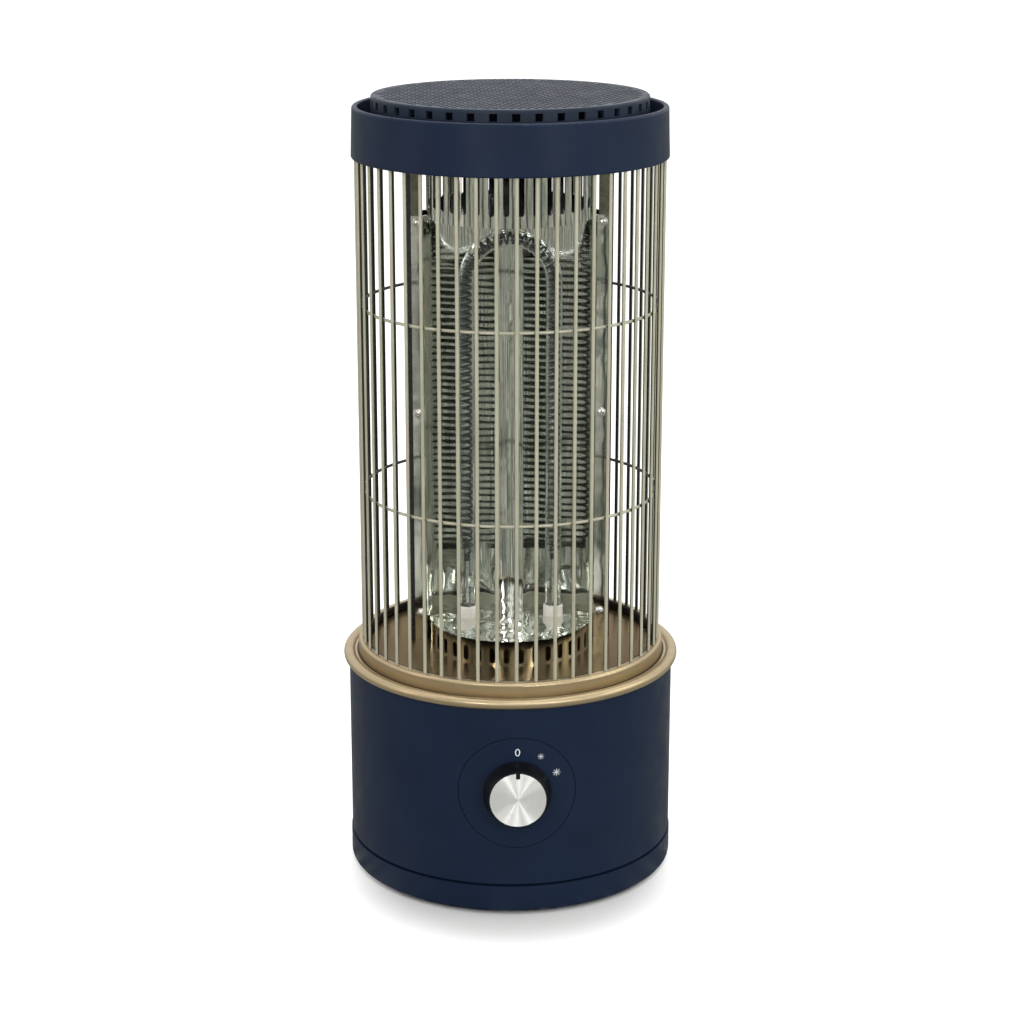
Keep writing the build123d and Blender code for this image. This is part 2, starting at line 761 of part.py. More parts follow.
# Ceramic ferrules: bushes that hold the tube's feet, and the pins that lead down from the coil
with BuildPart() as ceramic_ferrules:
    with BuildSketch(Plane.XY.offset(pan_top)):
        with Locations((leg_x, leg_y), (-leg_x, leg_y)):
            Circle(ferrule_radius)
    extrude(amount=ferrule_height)
    fillet(ceramic_ferrules.edges().group_by(Axis.Z)[-1], 1.0)
    with BuildSketch(Plane.XY.offset(leg_bottom)):
        with Locations((leg_x, leg_y), (-leg_x, leg_y)):
            Circle(tube_radius + fit_gap)
    extrude(amount=ferrule_height, mode=Mode.SUBTRACT)
    with BuildSketch(Plane.XY.offset(pan_top)):
        with Locations((leg_x, leg_y), (-leg_x, leg_y)):
            Circle(pin_radius + fit_gap)
    extrude(amount=leg_lift, mode=Mode.SUBTRACT)
save(ceramic_ferrules, "ceramic_ferrules")

pin_drop = 13.7
with BuildPart() as element_terminals:
    with BuildSketch(Plane.XY.offset(pan_top - pin_drop)):
        with Locations((leg_x, leg_y), (-leg_x, leg_y)):
            Circle(pin_radius)
    extrude(amount=leg_bottom + coil_start - pan_top + pin_drop)
save(element_terminals, "element_terminals")

# Top plate: takes the upper ends of the wires, the drum's flange and the shield's straps
collar_foot_width = 1.3
collar_seat_radius = cap_radius - collar_foot_width
plate_radius = collar_seat_radius - 2 * fit_gap
plate_screw_count = 5
plate_screw_circle = cage_radius - plate_screw_inset
with BuildPart() as top_plate:
    with BuildSketch(Plane.XY.offset(plate_bottom)):
        Circle(plate_radius)
        Circle(plate_opening, mode=Mode.SUBTRACT)
        with PolarLocations(cage_radius, wire_count, start_angle=front):
            Circle(wire_radius + fit_gap, mode=Mode.SUBTRACT)
        with PolarLocations(plate_screw_circle, plate_screw_count, start_angle=ring_screw_start):
            Circle(screw_radius + fit_gap, mode=Mode.SUBTRACT)
        with PolarLocations(ceiling_screw_circle, 3, start_angle=90):
            Circle(screw_radius + weld_gap, mode=Mode.SUBTRACT)
        with Locations(
            (strap_middle, shield_y + strap_foot / 2), (-strap_middle, shield_y + strap_foot / 2)
        ):
            Circle(screw_radius + weld_gap, mode=Mode.SUBTRACT)
    extrude(amount=plate_sheet)
save(top_plate, "top_plate")

ceiling_screw_length = sheet + plate_sheet + 1.5
ceiling_screw = pan_head(screw_head_radius, screw_head_height, screw_radius, ceiling_screw_length)
ceiling_screw_bottom = plate_bottom - sheet - screw_head_height
with BuildPart() as ceiling_screws:
    with PolarLocations(ceiling_screw_circle, 3, start_angle=90):
        add(Pos(0, 0, ceiling_screw_bottom) * ceiling_screw)
    with Locations(
        (strap_middle, shield_y + strap_foot / 2), (-strap_middle, shield_y + strap_foot / 2)
    ):
        add(Pos(0, 0, ceiling_screw_bottom) * ceiling_screw)
save(ceiling_screws, "ceiling_screws")

# Top collar: a plastic ring with a shelf inside that carries the grille
post_radius = 4.0
rim_outer_rounding = 1.6
rim_inner_rounding = 1.0
with BuildPart() as top_collar:
    with BuildSketch(Plane.XZ):
        with BuildLine():
            Polyline(
                (collar_seat_radius, cap_bottom),
                (cap_radius, cap_bottom),
                (cap_radius - cap_draft, cap_top),
                (cap_inner_radius, cap_top),
                (cap_inner_radius, shelf_top),
                (shelf_inner_radius, shelf_top),
                (shelf_inner_radius, shelf_top - shelf_thickness),
                (cap_inner_radius, shelf_top - shelf_thickness),
                (cap_inner_radius, plate_top),
                (collar_seat_radius, plate_top),
                close=True,
            )
        make_face()
    revolve(axis=Axis.Z)
    rim_edges = top_collar.edges().group_by(Axis.Z)[-1].sort_by(SortBy.LENGTH)
    fillet(rim_edges[-1], rim_outer_rounding)
    fillet(rim_edges[0], rim_inner_rounding)
    foot_edges = top_collar.edges().group_by(Axis.Z)[0].sort_by(SortBy.LENGTH)
    fillet(foot_edges[-1], rim_inner_rounding)
    with BuildSketch(Plane.XY.offset(plate_top)):
        with PolarLocations(plate_screw_circle, plate_screw_count, start_angle=ring_screw_start):
            Circle(post_radius)
            Circle(screw_radius + weld_gap, mode=Mode.SUBTRACT)
    extrude(amount=shelf_top - shelf_thickness - plate_top)
save(top_collar, "top_collar")

plate_screw_depth = 10.0
plate_screw = pan_head(screw_head_radius, screw_head_height, screw_radius, plate_sheet + plate_screw_depth)
with BuildPart() as top_plate_screws:
    with PolarLocations(plate_screw_circle, plate_screw_count, start_angle=ring_screw_start):
        add(Pos(0, 0, plate_bottom - screw_head_height) * plate_screw)
save(top_plate_screws, "top_plate_screws")

# Top grille: an inverted cup with square holes round its wall and a holed top
grille_top = shelf_top + grille_height
grille_hole_drop = 5.0
grille_hole_level = grille_top - grille_hole_drop
grille_rounding = 1.2
top_hole_radius = 1.9
top_hole_pitch = 9.4
top_hole_rows = 9
with BuildPart() as square_cutter:
    with BuildSketch(Plane.XZ.offset(grille_radius - 3 * grille_wall)):
        with Locations((0, grille_hole_level)):
            Rectangle(grille_hole, grille_hole)
    extrude(amount=5 * grille_wall)

with BuildPart() as top_grille:
    with BuildSketch(Plane.XY.offset(shelf_top)):
        Circle(grille_radius)
    extrude(amount=grille_height)
    fillet(top_grille.edges().group_by(Axis.Z)[-1], grille_rounding)
    with BuildSketch(Plane.XY.offset(shelf_top)):
        Circle(grille_radius - grille_wall)
    extrude(amount=grille_height - grille_wall, mode=Mode.SUBTRACT)
    with PolarLocations(0, grille_hole_count):
        add(square_cutter.part, mode=Mode.SUBTRACT)
    with BuildSketch(Plane.XY.offset(grille_top - grille_wall)):
        Circle(top_hole_radius)
        for row in range(1, top_hole_rows):
            with PolarLocations(row * top_hole_pitch, 6 * row):
                Circle(top_hole_radius)
    extrude(amount=grille_wall, mode=Mode.SUBTRACT)
save(top_grille, "top_grille")

# Dial plate: a round plate that follows the curve of the housing, flush in its recess
with BuildPart() as dial_plate:
    with BuildSketch(Plane.XZ.offset(base_radius - wall_cut / 2)):
        with Locations((0, dial_height)):
            Circle(dial_radius)
            Circle(bushing_radius + fit_gap, mode=Mode.SUBTRACT)
    extrude(amount=wall_cut)
    with BuildSketch():
        Circle(base_radius)
        Circle(base_radius - dial_thickness, mode=Mode.SUBTRACT)
    extrude(amount=housing_top, mode=Mode.INTERSECT)
save(dial_plate, "dial_plate")

# Rotary switch: a square case on the housing's pad, with a bushing through the wall and a nut
switch_size = 26.0
switch_depth = 20.0
switch_back = -pad_y - switch_depth
rotor_radius = 6.0
switch_corner = 1.5
rotor_depth = 4.0
rotor_length = 9.0
rotor_front = -pad_y - rotor_depth
rotor_back = rotor_front - rotor_length
switch_nut_thickness = 2.2
switch_nut_circle = 7.0
nut_front = base_radius + switch_nut_thickness
bushing_end = nut_front + 0.4
with BuildPart() as rotary_switch:
    with BuildSketch(Plane.XZ.offset(switch_back)):
        with Locations((0, dial_height)):
            RectangleRounded(switch_size, switch_size, switch_corner)
    extrude(amount=switch_depth)
    with BuildSketch(Plane.XZ.offset(-pad_y)):
        with Locations((0, dial_height)):
            Circle(bushing_radius)
    extrude(amount=bushing_end + pad_y)
    with BuildSketch(Plane.XZ.offset(rotor_back - slide_gap)):
        with Locations((0, dial_height)):
            Circle(rotor_radius + slide_gap)
    extrude(amount=rotor_front - rotor_back + 2 * slide_gap, mode=Mode.SUBTRACT)
    with BuildSketch(Plane.XZ.offset(rotor_front)):
        with Locations((0, dial_height)):
            Circle(shaft_radius + running_gap)
    extrude(amount=bushing_end - rotor_front, mode=Mode.SUBTRACT)
save(rotary_switch, "rotary_switch")

with BuildPart() as switch_nut:
    with BuildSketch(Plane.XZ.offset(base_radius + weld_gap)):
        with Locations((0, dial_height)):
            RegularPolygon(switch_nut_circle, 6)
            Circle(bushing_radius + weld_gap, mode=Mode.SUBTRACT)
    extrude(amount=nut_front - base_radius)
save(switch_nut, "switch_nut")

# Switch shaft: a rotor inside the case and a round shaft out to the knob
knob_back = base_radius + knob_gap
knob_front = knob_back + knob_depth
shaft_cover = 2.5
shaft_end = knob_front - shaft_cover
with BuildPart() as switch_shaft:
    with BuildSketch(Plane.XZ.offset(rotor_back)):
        with Locations((0, dial_height)):
            Circle(rotor_radius)
    extrude(amount=rotor_front - rotor_back)
    with BuildSketch(Plane.XZ.offset(rotor_front)):
        with Locations((0, dial_height)):
            Circle(shaft_radius)
    extrude(amount=shaft_end - rotor_front)
save(switch_shaft, "switch_shaft")

# Knob: a black tapered skirt, hollow over the nut, with a spun metal face let into its front
knob_hollow = 8.4
knob_hollow_end = bushing_end + 0.5
knob_lip = 0.6
knob_bevel = 0.4
face_radius = knob_face_radius - knob_lip
face_sheet = 0.9
face_seat = knob_front - 0.7
pointer_width = 2.8
pointer_length = 3.95
knob_axis = Axis((0, 0, dial_height), (0, -1, 0))
with BuildPart() as knob_skirt:
    with BuildSketch(Plane.YZ):
        with BuildLine():
            Polyline(
                (-knob_back, dial_height + knob_hollow),
                (-knob_back, dial_height + knob_radius - knob_bevel),
                (-knob_back - knob_lip, dial_height + knob_radius),
                (-knob_front + knob_bevel, dial_height + knob_face_radius + knob_bevel),
                (-knob_front, dial_height + knob_face_radius),
                (-knob_front, dial_height + face_radius + fit_gap),
                (-face_seat, dial_height + face_radius + fit_gap),
                (-face_seat, dial_height),
                (-shaft_end - fit_gap, dial_height),
                (-shaft_end - fit_gap, dial_height + shaft_radius + weld_gap),
                (-knob_hollow_end, dial_height + shaft_radius + weld_gap),
                (-knob_hollow_end, dial_height + knob_hollow),
                close=True,
            )
        make_face()
    revolve(axis=knob_axis)
save(knob_skirt, "knob_skirt")

with BuildPart() as knob_cap:
    with BuildSketch(Plane.XZ.offset(face_seat)):
        with Locations((0, dial_height)):
            Circle(face_radius)
        with Locations((0, dial_height + face_radius)):
            Rectangle(pointer_width, 2 * pointer_length, mode=Mode.SUBTRACT)
    extrude(amount=face_sheet)
save(knob_cap, "knob_cap")

# Thermal cut-out: a button under the pan, held by a hat-shaped strap
cutout_y = 44.0
cutout_radius = 8.0
cutout_height = 7.0
pan_underside = pan_top - pan_sheet
bracket_play = 0.3
bracket_tab = 8.0
bracket_strip = 8.0
bracket_inner = cutout_radius + bracket_play
with BuildPart() as thermal_cutout:
    with BuildSketch(Plane.XY.offset(pan_underside - cutout_height)):
        with Locations((0, cutout_y)):
            Circle(cutout_radius)
    extrude(amount=cutout_height)
save(thermal_cutout, "thermal_cutout")

with BuildPart() as cutout_bracket:
    with BuildSketch(Plane.XZ.offset(-cutout_y)):
        with Locations((0, pan_underside - cutout_height / 2 - sheet / 2)):
            Rectangle(2 * (bracket_inner + sheet), cutout_height + sheet)
        with Locations((0, pan_underside - cutout_height / 2)):
            Rectangle(2 * bracket_inner, cutout_height, mode=Mode.SUBTRACT)
        for side in (1, -1):
            with Locations((side * (bracket_inner + bracket_tab / 2), pan_underside - sheet / 2)):
                Rectangle(bracket_tab, sheet)
    extrude(amount=bracket_strip / 2, both=True)
save(cutout_bracket, "cutout_bracket")

# Terminal block and diode on the plinth's floor
inside_floor = plinth_bottom + plinth_floor
block_x = 40.0
block_y = 48.0
block_pitch = 10.0
block_length = 34.0
block_width = 16.0
block_base = 8.0
block_tower = 8.0
block_tower_height = 6.0
block_screw_radius = 2.2
block_places = [(block_x + step * block_pitch, block_y) for step in (-1, 0, 1)]
with BuildPart() as terminal_block:
    with BuildSketch(Plane.XY.offset(inside_floor)):
        with Locations((block_x, block_y)):
            Rectangle(block_length, block_width)
    extrude(amount=block_base)
    with BuildSketch(Plane.XY.offset(inside_floor + block_base)):
        with Locations(*block_places):
            Rectangle(block_tower, block_width)
    extrude(amount=block_tower_height)
    with BuildSketch(Plane.XY.offset(inside_floor + block_base)):
        with Locations(*block_places):
            Circle(block_screw_radius)
    extrude(amount=block_tower_height, mode=Mode.SUBTRACT)
save(terminal_block, "terminal_block")

diode_radius = 3.2
diode_length = 10.0
diode_offset = 24.0
diode_y = block_y - diode_offset
with BuildPart() as half_power_diode:
    with BuildSketch(Plane.YZ.offset(block_x - diode_length / 2)):
        with Locations((diode_y, inside_floor + diode_radius)):
            Circle(diode_radius)
    extrude(amount=diode_length)
save(half_power_diode, "half_power_diode")

# Cord gland: a flanged bush in the back wall
gland_flange_thickness = 2.4
gland_front = gland_seat + gland_flange_thickness
gland_tail = 6.0
gland_hook = 2.0
gland_hook_rise = 1.8
gland_boot = 6.0
gland_boot_radius = 6.2
gland_bore = 3.6
with BuildPart() as cord_gland:
    with BuildSketch(Plane.YZ):
        with BuildLine():
            Polyline(
                (housing_inner - gland_tail, gland_height + gland_bore),
                (gland_front + gland_boot, gland_height + gland_bore),
                (gland_front + gland_boot, gland_height + gland_boot_radius - 1.0),
                (gland_front, gland_height + gland_boot_radius),
                (gland_front, gland_height + gland_flange - 1.5),
                (gland_seat, gland_height + gland_flange),
                (gland_seat, gland_height + gland_radius),
                (housing_inner - gland_hook, gland_height + gland_radius),
                (housing_inner - gland_hook, gland_height + gland_radius + gland_hook_rise),
                (housing_inner - gland_tail, gland_height + gland_radius),
                close=True,
            )
        make_face()
    revolve(axis=Axis((0, 0, gland_height), (0, 1, 0)))
save(cord_gland, "cord_gland")

# Tip-over switch: a sprung plunger that stands on the floor and lifts a small lever
tip_travel = 4.5
guide_radius = 10.0
guide_bore = 7.0
guide_height = 23.0
guide_skin = 2.0
rail_length = 36.0
rail_thickness = 2.4
rail_rise = 22.0
rail_x = tip_x + 6
rail_y = tip_y + guide_radius - rail_thickness / 2
plunger_collar = 6.6
plunger_collar_level = inside_floor + guide_skin + tip_travel + 0.5
plunger_collar_height = 2.0
plunger_top = 36.0
plunger_rod = 2.5
guide_top = inside_floor + guide_height
with BuildPart() as tip_switch_frame:
    with BuildSketch(Plane.XY.offset(inside_floor)):
        with Locations((tip_x, tip_y)):
            Circle(guide_radius)
        with Locations((rail_x, rail_y)):
            Rectangle(rail_length, rail_thickness)
    extrude(amount=guide_height)
    with BuildSketch(Plane.XY.offset(inside_floor)):
        with Locations((tip_x, tip_y)):
            Circle(plunger_radius + slide_gap)
    extrude(amount=guide_skin, mode=Mode.SUBTRACT)
    with BuildSketch(Plane.XY.offset(inside_floor + guide_skin)):
        with Locations((tip_x, tip_y)):
            Circle(guide_bore)
    extrude(amount=guide_height - 2 * guide_skin, mode=Mode.SUBTRACT)
    with BuildSketch(Plane.XY.offset(guide_top - guide_skin)):
        with Locations((tip_x, tip_y)):
            Circle(plunger_rod + slide_gap)
    extrude(amount=guide_skin, mode=Mode.SUBTRACT)
    with BuildSketch(Plane.XY.offset(guide_top)):
        with Locations((rail_x, rail_y)):
            Rectangle(rail_length, rail_thickness)
    extrude(amount=rail_rise)
save(tip_switch_frame, "tip_switch_frame")

with BuildPart() as tip_plunger:
    with BuildSketch(Plane.XZ.offset(-tip_y)):
        with BuildLine():
            Polyline(
                (tip_x, 0),
                (tip_x + plunger_radius - 1, 0),
                (tip_x + plunger_radius, 1),
                (tip_x + plunger_radius, plunger_collar_level),
                (tip_x + plunger_collar, plunger_collar_level),
                (tip_x + plunger_collar, plunger_collar_level + plunger_collar_height),
                (tip_x + plunger_rod, plunger_collar_level + plunger_collar_height),
                (tip_x + plunger_rod, plunger_top - plunger_rod),
            )
            CenterArc((tip_x, plunger_top - plunger_rod), plunger_rod, 0, 90)
            Line((tip_x, plunger_top), (tip_x, 0))
        make_face()
    revolve(axis=Axis((tip_x, tip_y, 0), (0, 0, 1)))
save(tip_plunger, "tip_plunger")

# Tip spring: the space its turns fill, between the plunger's collar and the guide's roof
spring_bottom = plunger_collar_level + plunger_collar_height + weld_gap
spring_top = guide_top - guide_skin - weld_gap
spring_outer_radius = 5.8
spring_inner_radius = 4.6
with BuildPart() as tip_spring:
    with BuildSketch(Plane.XY.offset(spring_bottom)):
        with Locations((tip_x, tip_y)):
            Circle(spring_outer_radius)
            Circle(spring_inner_radius, mode=Mode.SUBTRACT)
    extrude(amount=spring_top - spring_bottom)
save(tip_spring, "tip_spring")

# Micro switch and its lever, which rests just above the plunger's round top
lever_arm = 18.0
lever_width = 5.0
lever_sheet = 1.0
lever_bottom = plunger_top + slide_gap
pivot_x = tip_x + lever_arm
pivot_z = lever_bottom + lever_sheet / 2
pivot_radius = 0.8
pivot_eye = 1.6
lever_overhang = 2.0
ear_y = lever_width / 2 + slide_gap
ear_sheet = 1.2
switch_bottom = lever_bottom + 2.2
micro_length = 22.0
micro_height = 10.0
ear_width = 4.4
ear_height = 5.0
micro_front = -ear_y - ear_sheet
micro_back = guide_radius - rail_thickness - weld_gap
with BuildPart() as tip_lever:
    with BuildSketch(Plane.XZ.offset(-tip_y - lever_width / 2)):
        with Locations((tip_x + (lever_arm - lever_overhang) / 2, pivot_z)):
            Rectangle(lever_arm + lever_overhang, lever_sheet)
        with Locations((pivot_x, pivot_z)):
            Circle(pivot_eye)
    extrude(amount=lever_width)
    with BuildSketch(Plane.XZ.offset(-tip_y)):
        with Locations((pivot_x, pivot_z)):
            Circle(pivot_radius)
    extrude(amount=ear_y + ear_sheet, both=True)
save(tip_lever, "tip_lever")

with BuildPart() as micro_switch:
    with BuildSketch(Plane.XY.offset(switch_bottom)):
        with Locations((tip_x + 10, tip_y + (micro_back + micro_front) / 2)):
            Rectangle(micro_length, micro_back - micro_front)
    extrude(amount=micro_height)
    for side in (1, -1):
        with BuildSketch(Plane.XZ.offset(-tip_y - side * (ear_y + ear_sheet / 2))):
            with Locations((pivot_x, pivot_z + 0.6)):
                Rectangle(ear_width, ear_height)
            with Locations((pivot_x, pivot_z)):
                Circle(pivot_radius + running_gap, mode=Mode.SUBTRACT)
        extrude(amount=ear_sheet / 2, both=True)
save(micro_switch, "micro_switch")

# Internal wires: insulated leads from the block to the switch, the element and the cut-out
lead_radius = 1.3
pin_bottom = pan_top - pin_drop - weld_gap
switch_face = -switch_back + weld_gap
block_top = inside_floor + block_base + block_tower_height + weld_gap
lead_side = 8.0
lead_bend = 16.0
lead_short_drop = 36.0
lead_long_drop = 60.0
lead_rise = 30.0
lead_reach = 37.0
lead_routes = (
    [
        (-leg_x, leg_y, pin_bottom),
        (-leg_x, leg_y, pin_bottom - lead_short_drop),
        (-lead_side, switch_face + lead_reach, dial_height + lead_side),
        (-lead_side, switch_face, dial_height + lead_side),
    ],
    [
        (leg_x, leg_y, pin_bottom),
        (leg_x, leg_y, pin_bottom - lead_long_drop),
        (block_x, block_y, block_top + lead_rise),
        (block_x, block_y, block_top),
    ],
    [
        (block_x - block_pitch, block_y, block_top),
        (block_x - block_pitch, block_y, block_top + lead_rise),
        (lead_side, switch_face + lead_reach, dial_height - lead_side),
        (lead_side, switch_face, dial_height - lead_side),
    ],
)
with BuildPart() as internal_wires:
    for route in lead_routes:
        with BuildLine() as lead_path:
            FilletPolyline(*route, radius=lead_bend)
        with BuildSketch(Plane(origin=route[0], z_dir=Vector(*route[1]) - Vector(*route[0]))):
            Circle(lead_radius)
        sweep(path=lead_path.wires()[0])
save(internal_wires, "internal_wires")
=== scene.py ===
"""Looks of the round cage-type quartz heater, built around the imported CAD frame, in metres."""
import json

import bpy
import numpy as np
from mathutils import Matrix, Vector


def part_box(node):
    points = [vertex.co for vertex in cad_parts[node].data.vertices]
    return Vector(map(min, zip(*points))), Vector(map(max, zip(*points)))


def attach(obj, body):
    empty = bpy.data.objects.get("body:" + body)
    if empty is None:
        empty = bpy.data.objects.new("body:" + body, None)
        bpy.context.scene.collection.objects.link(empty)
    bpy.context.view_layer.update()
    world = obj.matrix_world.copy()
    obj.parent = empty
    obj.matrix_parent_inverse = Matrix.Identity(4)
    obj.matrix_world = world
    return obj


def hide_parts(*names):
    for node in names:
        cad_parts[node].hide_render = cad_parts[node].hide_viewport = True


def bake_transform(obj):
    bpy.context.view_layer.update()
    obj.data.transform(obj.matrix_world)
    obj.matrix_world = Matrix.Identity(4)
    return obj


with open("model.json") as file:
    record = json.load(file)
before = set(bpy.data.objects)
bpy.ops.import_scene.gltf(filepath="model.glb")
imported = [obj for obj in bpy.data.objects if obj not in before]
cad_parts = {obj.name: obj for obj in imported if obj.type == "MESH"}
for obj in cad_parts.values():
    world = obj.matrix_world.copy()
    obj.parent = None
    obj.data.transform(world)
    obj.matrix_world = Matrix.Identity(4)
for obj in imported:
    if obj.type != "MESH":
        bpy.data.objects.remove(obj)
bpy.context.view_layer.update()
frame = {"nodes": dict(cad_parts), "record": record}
nodes = frame["nodes"]
MM = 0.001
TURN = 2 * np.pi

# Sizes shared with the CAD part
WIRE_COUNT = 50
WIRE_RADIUS = 1.2 * MM
CAGE_RADIUS = 100.4 * MM
RING_LEVELS = (264.0 * MM, 389.5 * MM)
GUARD_RADIUS = 98.15 * MM
FOOT_RING_WIDTH = 6.8 * MM
LEG_X = 29.4 * MM
LEG_Y = 4.0 * MM
LEG_BOTTOM = 158.0 * MM
ARCH_LEVEL = 402.3 * MM
TUBE_RADIUS = 5.5 * MM
TUBE_WALL = 1.0 * MM
COIL_START = 219.0 * MM
COIL_RADIUS = 3.4 * MM
COIL_TURNS = 98
TROUGH_X = 28.7 * MM
TROUGH_Y = -15.3 * MM
TROUGH_RADIUS = 32.3 * MM
RIDGE_Y = 10.2 * MM
SHEET = 0.8 * MM
FLANGE_REACH = 65.2 * MM
DRUM_RADIUS = 55.0 * MM
DIAL_LEVEL = 86.5 * MM
BASE_RADIUS = 110.6 * MM
GRILLE_RADIUS = 90.2 * MM
GRILLE_WALL = 2.0 * MM
GRILLE_FOOT = 509.0 * MM
GRILLE_TOP = 526.5 * MM
GRILLE_HOLE = 5.0 * MM
GRILLE_HOLE_COUNT = 40

# Sizes of the scene's own detail
COIL_WIRE = 0.85 * MM
RIDGE_CROWN = 1.7 * MM
WAVE_HEIGHT = 0.045 * MM
MARK_HEIGHT = 0.05 * MM
FLOOR_REACH = 40.0


# Mesh helpers
def grid_faces(rows, columns, close_rows=False, close_columns=False):
    """Corner numbers of the quads of a grid of points, as one array with a row for each quad."""
    row = np.arange(rows if close_rows else rows - 1)[:, None]
    column = np.arange(columns if close_columns else columns - 1)[None, :]
    next_row = (row + 1) % rows
    next_column = (column + 1) % columns
    corners = [
        row * columns + column,
        row * columns + next_column,
        next_row * columns + next_column,
        next_row * columns + column,
    ]
    return np.stack([np.broadcast_to(c, (row.size, column.size)) for c in corners], -1).reshape(-1, 4)


def new_piece(name, mesh, finish, body):
    """An object of a ready mesh in one of the finishes, riding on a body of the frame if one is given."""
    mesh.materials.clear()
    mesh.materials.append(finishes[finish])
    piece = bpy.data.objects.new(name, mesh)
    bpy.context.scene.collection.objects.link(piece)
    if body:
        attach(piece, body)
    return piece


def shell(name, points, quads, finish, smooth=True, body="heater"):
    """A piece from an array of points and an array of quads, in one of the finishes."""
    points = np.asarray(points, np.float32).reshape(-1, 3)
    quads = np.asarray(quads, np.int32)
    starts = np.arange(0, quads.size, quads.shape[1], dtype=np.int32)
    mesh = bpy.data.meshes.new(name)
    mesh.vertices.add(len(points))
    mesh.vertices.foreach_set("co", points.ravel())
    mesh.loops.add(quads.size)
    mesh.loops.foreach_set("vertex_index", quads.ravel())
    mesh.polygons.add(len(quads))
    mesh.polygons.foreach_set("loop_start", starts)
    mesh.update(calc_edges=True)
    mesh.validate()
    mesh.polygons.foreach_set("use_smooth", np.full(len(mesh.polygons), smooth))
    return new_piece(name, mesh, finish, body)


def crisp(piece, angle):
    """Shades a piece smooth, apart from edges sharper than the angle in degrees."""
    piece.data.set_sharp_from_angle(angle=np.radians(angle))


def unit(vectors):
    """Rows of vectors brought to a length of 1."""
    return vectors / np.linalg.norm(vectors, axis=1)[:, None]


def circle_profile(radius, sides):
    """Points of a circle, counted against the clock."""
    angle = np.arange(sides) * TURN / sides
    return radius * np.stack([np.cos(angle), np.sin(angle)], -1)


def along(path, across, up, profile):
    """Carries a flat profile along a path: each point is path + across * profile x + up * profile y."""
    return (
        path[:, None, :]
        + across[:, None, :] * profile[None, :, 0, None]
        + up[:, None, :] * profile[None, :, 1, None]
    )


def round_wire(name, path, across, radius, sides, finish, body="heater"):
    """A wire along a path: a circle carried across the path's direction, drawn together at both ends."""
    direction = unit(np.gradient(path, axis=0))
    skin = along(path, across, np.cross(direction, across), circle_profile(radius, sides))
    skin[0] = path[0]
    skin[-1] = path[-1]
    quads = grid_faces(len(skin), sides, close_columns=True)
    return shell(name, skin, quads, finish, body=body)


def several(template, quads, places):
    """Copies a template shape to many places, given as 4 by 4 matrices, in one array of points."""
    flat = np.concatenate([template, np.ones((len(template), 1))], 1)
    points = np.einsum("kij,nj->kni", np.asarray(places), flat)[..., :3]
    steps = np.arange(len(places))[:, None, None] * len(template)
    return points.reshape(-1, 3), (quads[None] + steps).reshape(-1, quads.shape[1])


# Node helpers
NOISE_REACH = (0.3, 0.7)


def put(tree, socket, value):
    """Gives a socket a plain value, or links it to another node's output."""
    if isinstance(value, bpy.types.NodeSocket):
        tree.links.new(value, socket)
    else:
        socket.default_value = value


def object_point(tree):
    """The shaded point in the heater's own frame, in metres."""
    return tree.nodes.new("ShaderNodeTexCoord").outputs["Object"]


def noise(tree, point, scale, detail):
    """Soft patches over the points that it is given."""
    patches = tree.nodes.new("ShaderNodeTexNoise")
    patches.inputs["Scale"].default_value = scale
    patches.inputs["Detail"].default_value = detail
    tree.links.new(point, patches.inputs["Vector"])
    return patches.outputs["Fac"]


def grain(tree, scale, stretch=(1, 1, 1), detail=3.0):
    """Noise in grains per metre. A stretch below 1 draws the grains out along its axis."""
    mapping = tree.nodes.new("ShaderNodeMapping")
    mapping.inputs["Scale"].default_value = stretch
    tree.links.new(object_point(tree), mapping.inputs["Vector"])
    return noise(tree, mapping.outputs["Vector"], scale, detail)


def mapped(tree, value, source, target=(0.0, 1.0), smooth=False):
    """A value taken from the ends of its source to the ends of its target, and held beyond them."""
    reach = tree.nodes.new("ShaderNodeMapRange")
    reach.interpolation_type = "SMOOTHSTEP" if smooth else "LINEAR"
    tree.links.new(value, reach.inputs["Value"])
    for socket, end in zip(("From Min", "From Max", "To Min", "To Max"), (*source, *target)):
        put(tree, reach.inputs[socket], end)
    return reach.outputs["Result"]


def colour_ramp(tree, value, stops):
    """A colour picked by a value from stops, each a position and a colour."""
    ramp = tree.nodes.new("ShaderNodeValToRGB")
    marks = ramp.color_ramp.elements
    for position, _ in stops[1:-1]:
        marks.new(position)
    for mark, (position, color) in zip(marks, stops):
        mark.position = position
        mark.color = (*color, 1)
    tree.links.new(value, ramp.inputs["Fac"])
    return ramp.outputs["Color"]


def number_of(tree, operation, first, second):
    """The result of a calculation with two numbers."""
    step = tree.nodes.new("ShaderNodeMath")
    step.operation = operation
    tree.links.new(first, step.inputs[0])
    tree.links.new(second, step.inputs[1])
    return step.outputs["Value"]


def length_of(tree, vector):
    """A vector's length."""
    step = tree.nodes.new("ShaderNodeVectorMath")
    step.operation = "LENGTH"
    tree.links.new(vector, step.inputs[0])
    return step.outputs["Value"]


def scaled(tree, vector, factors):
    """A vector multiplied by a factor for each axis."""
    step = tree.nodes.new("ShaderNodeVectorMath")
    step.operation = "MULTIPLY"
    step.inputs[1].default_value = factors
    tree.links.new(vector, step.inputs[0])
    return step.outputs["Vector"]


def mixed(tree, share, first, second):
    """A blend of two shaders, by the second one's share."""
    blend = tree.nodes.new("ShaderNodeMixShader")
    for socket, value in zip(blend.inputs, (share, first, second)):
        tree.links.new(value, socket)
    return blend.outputs["Shader"]


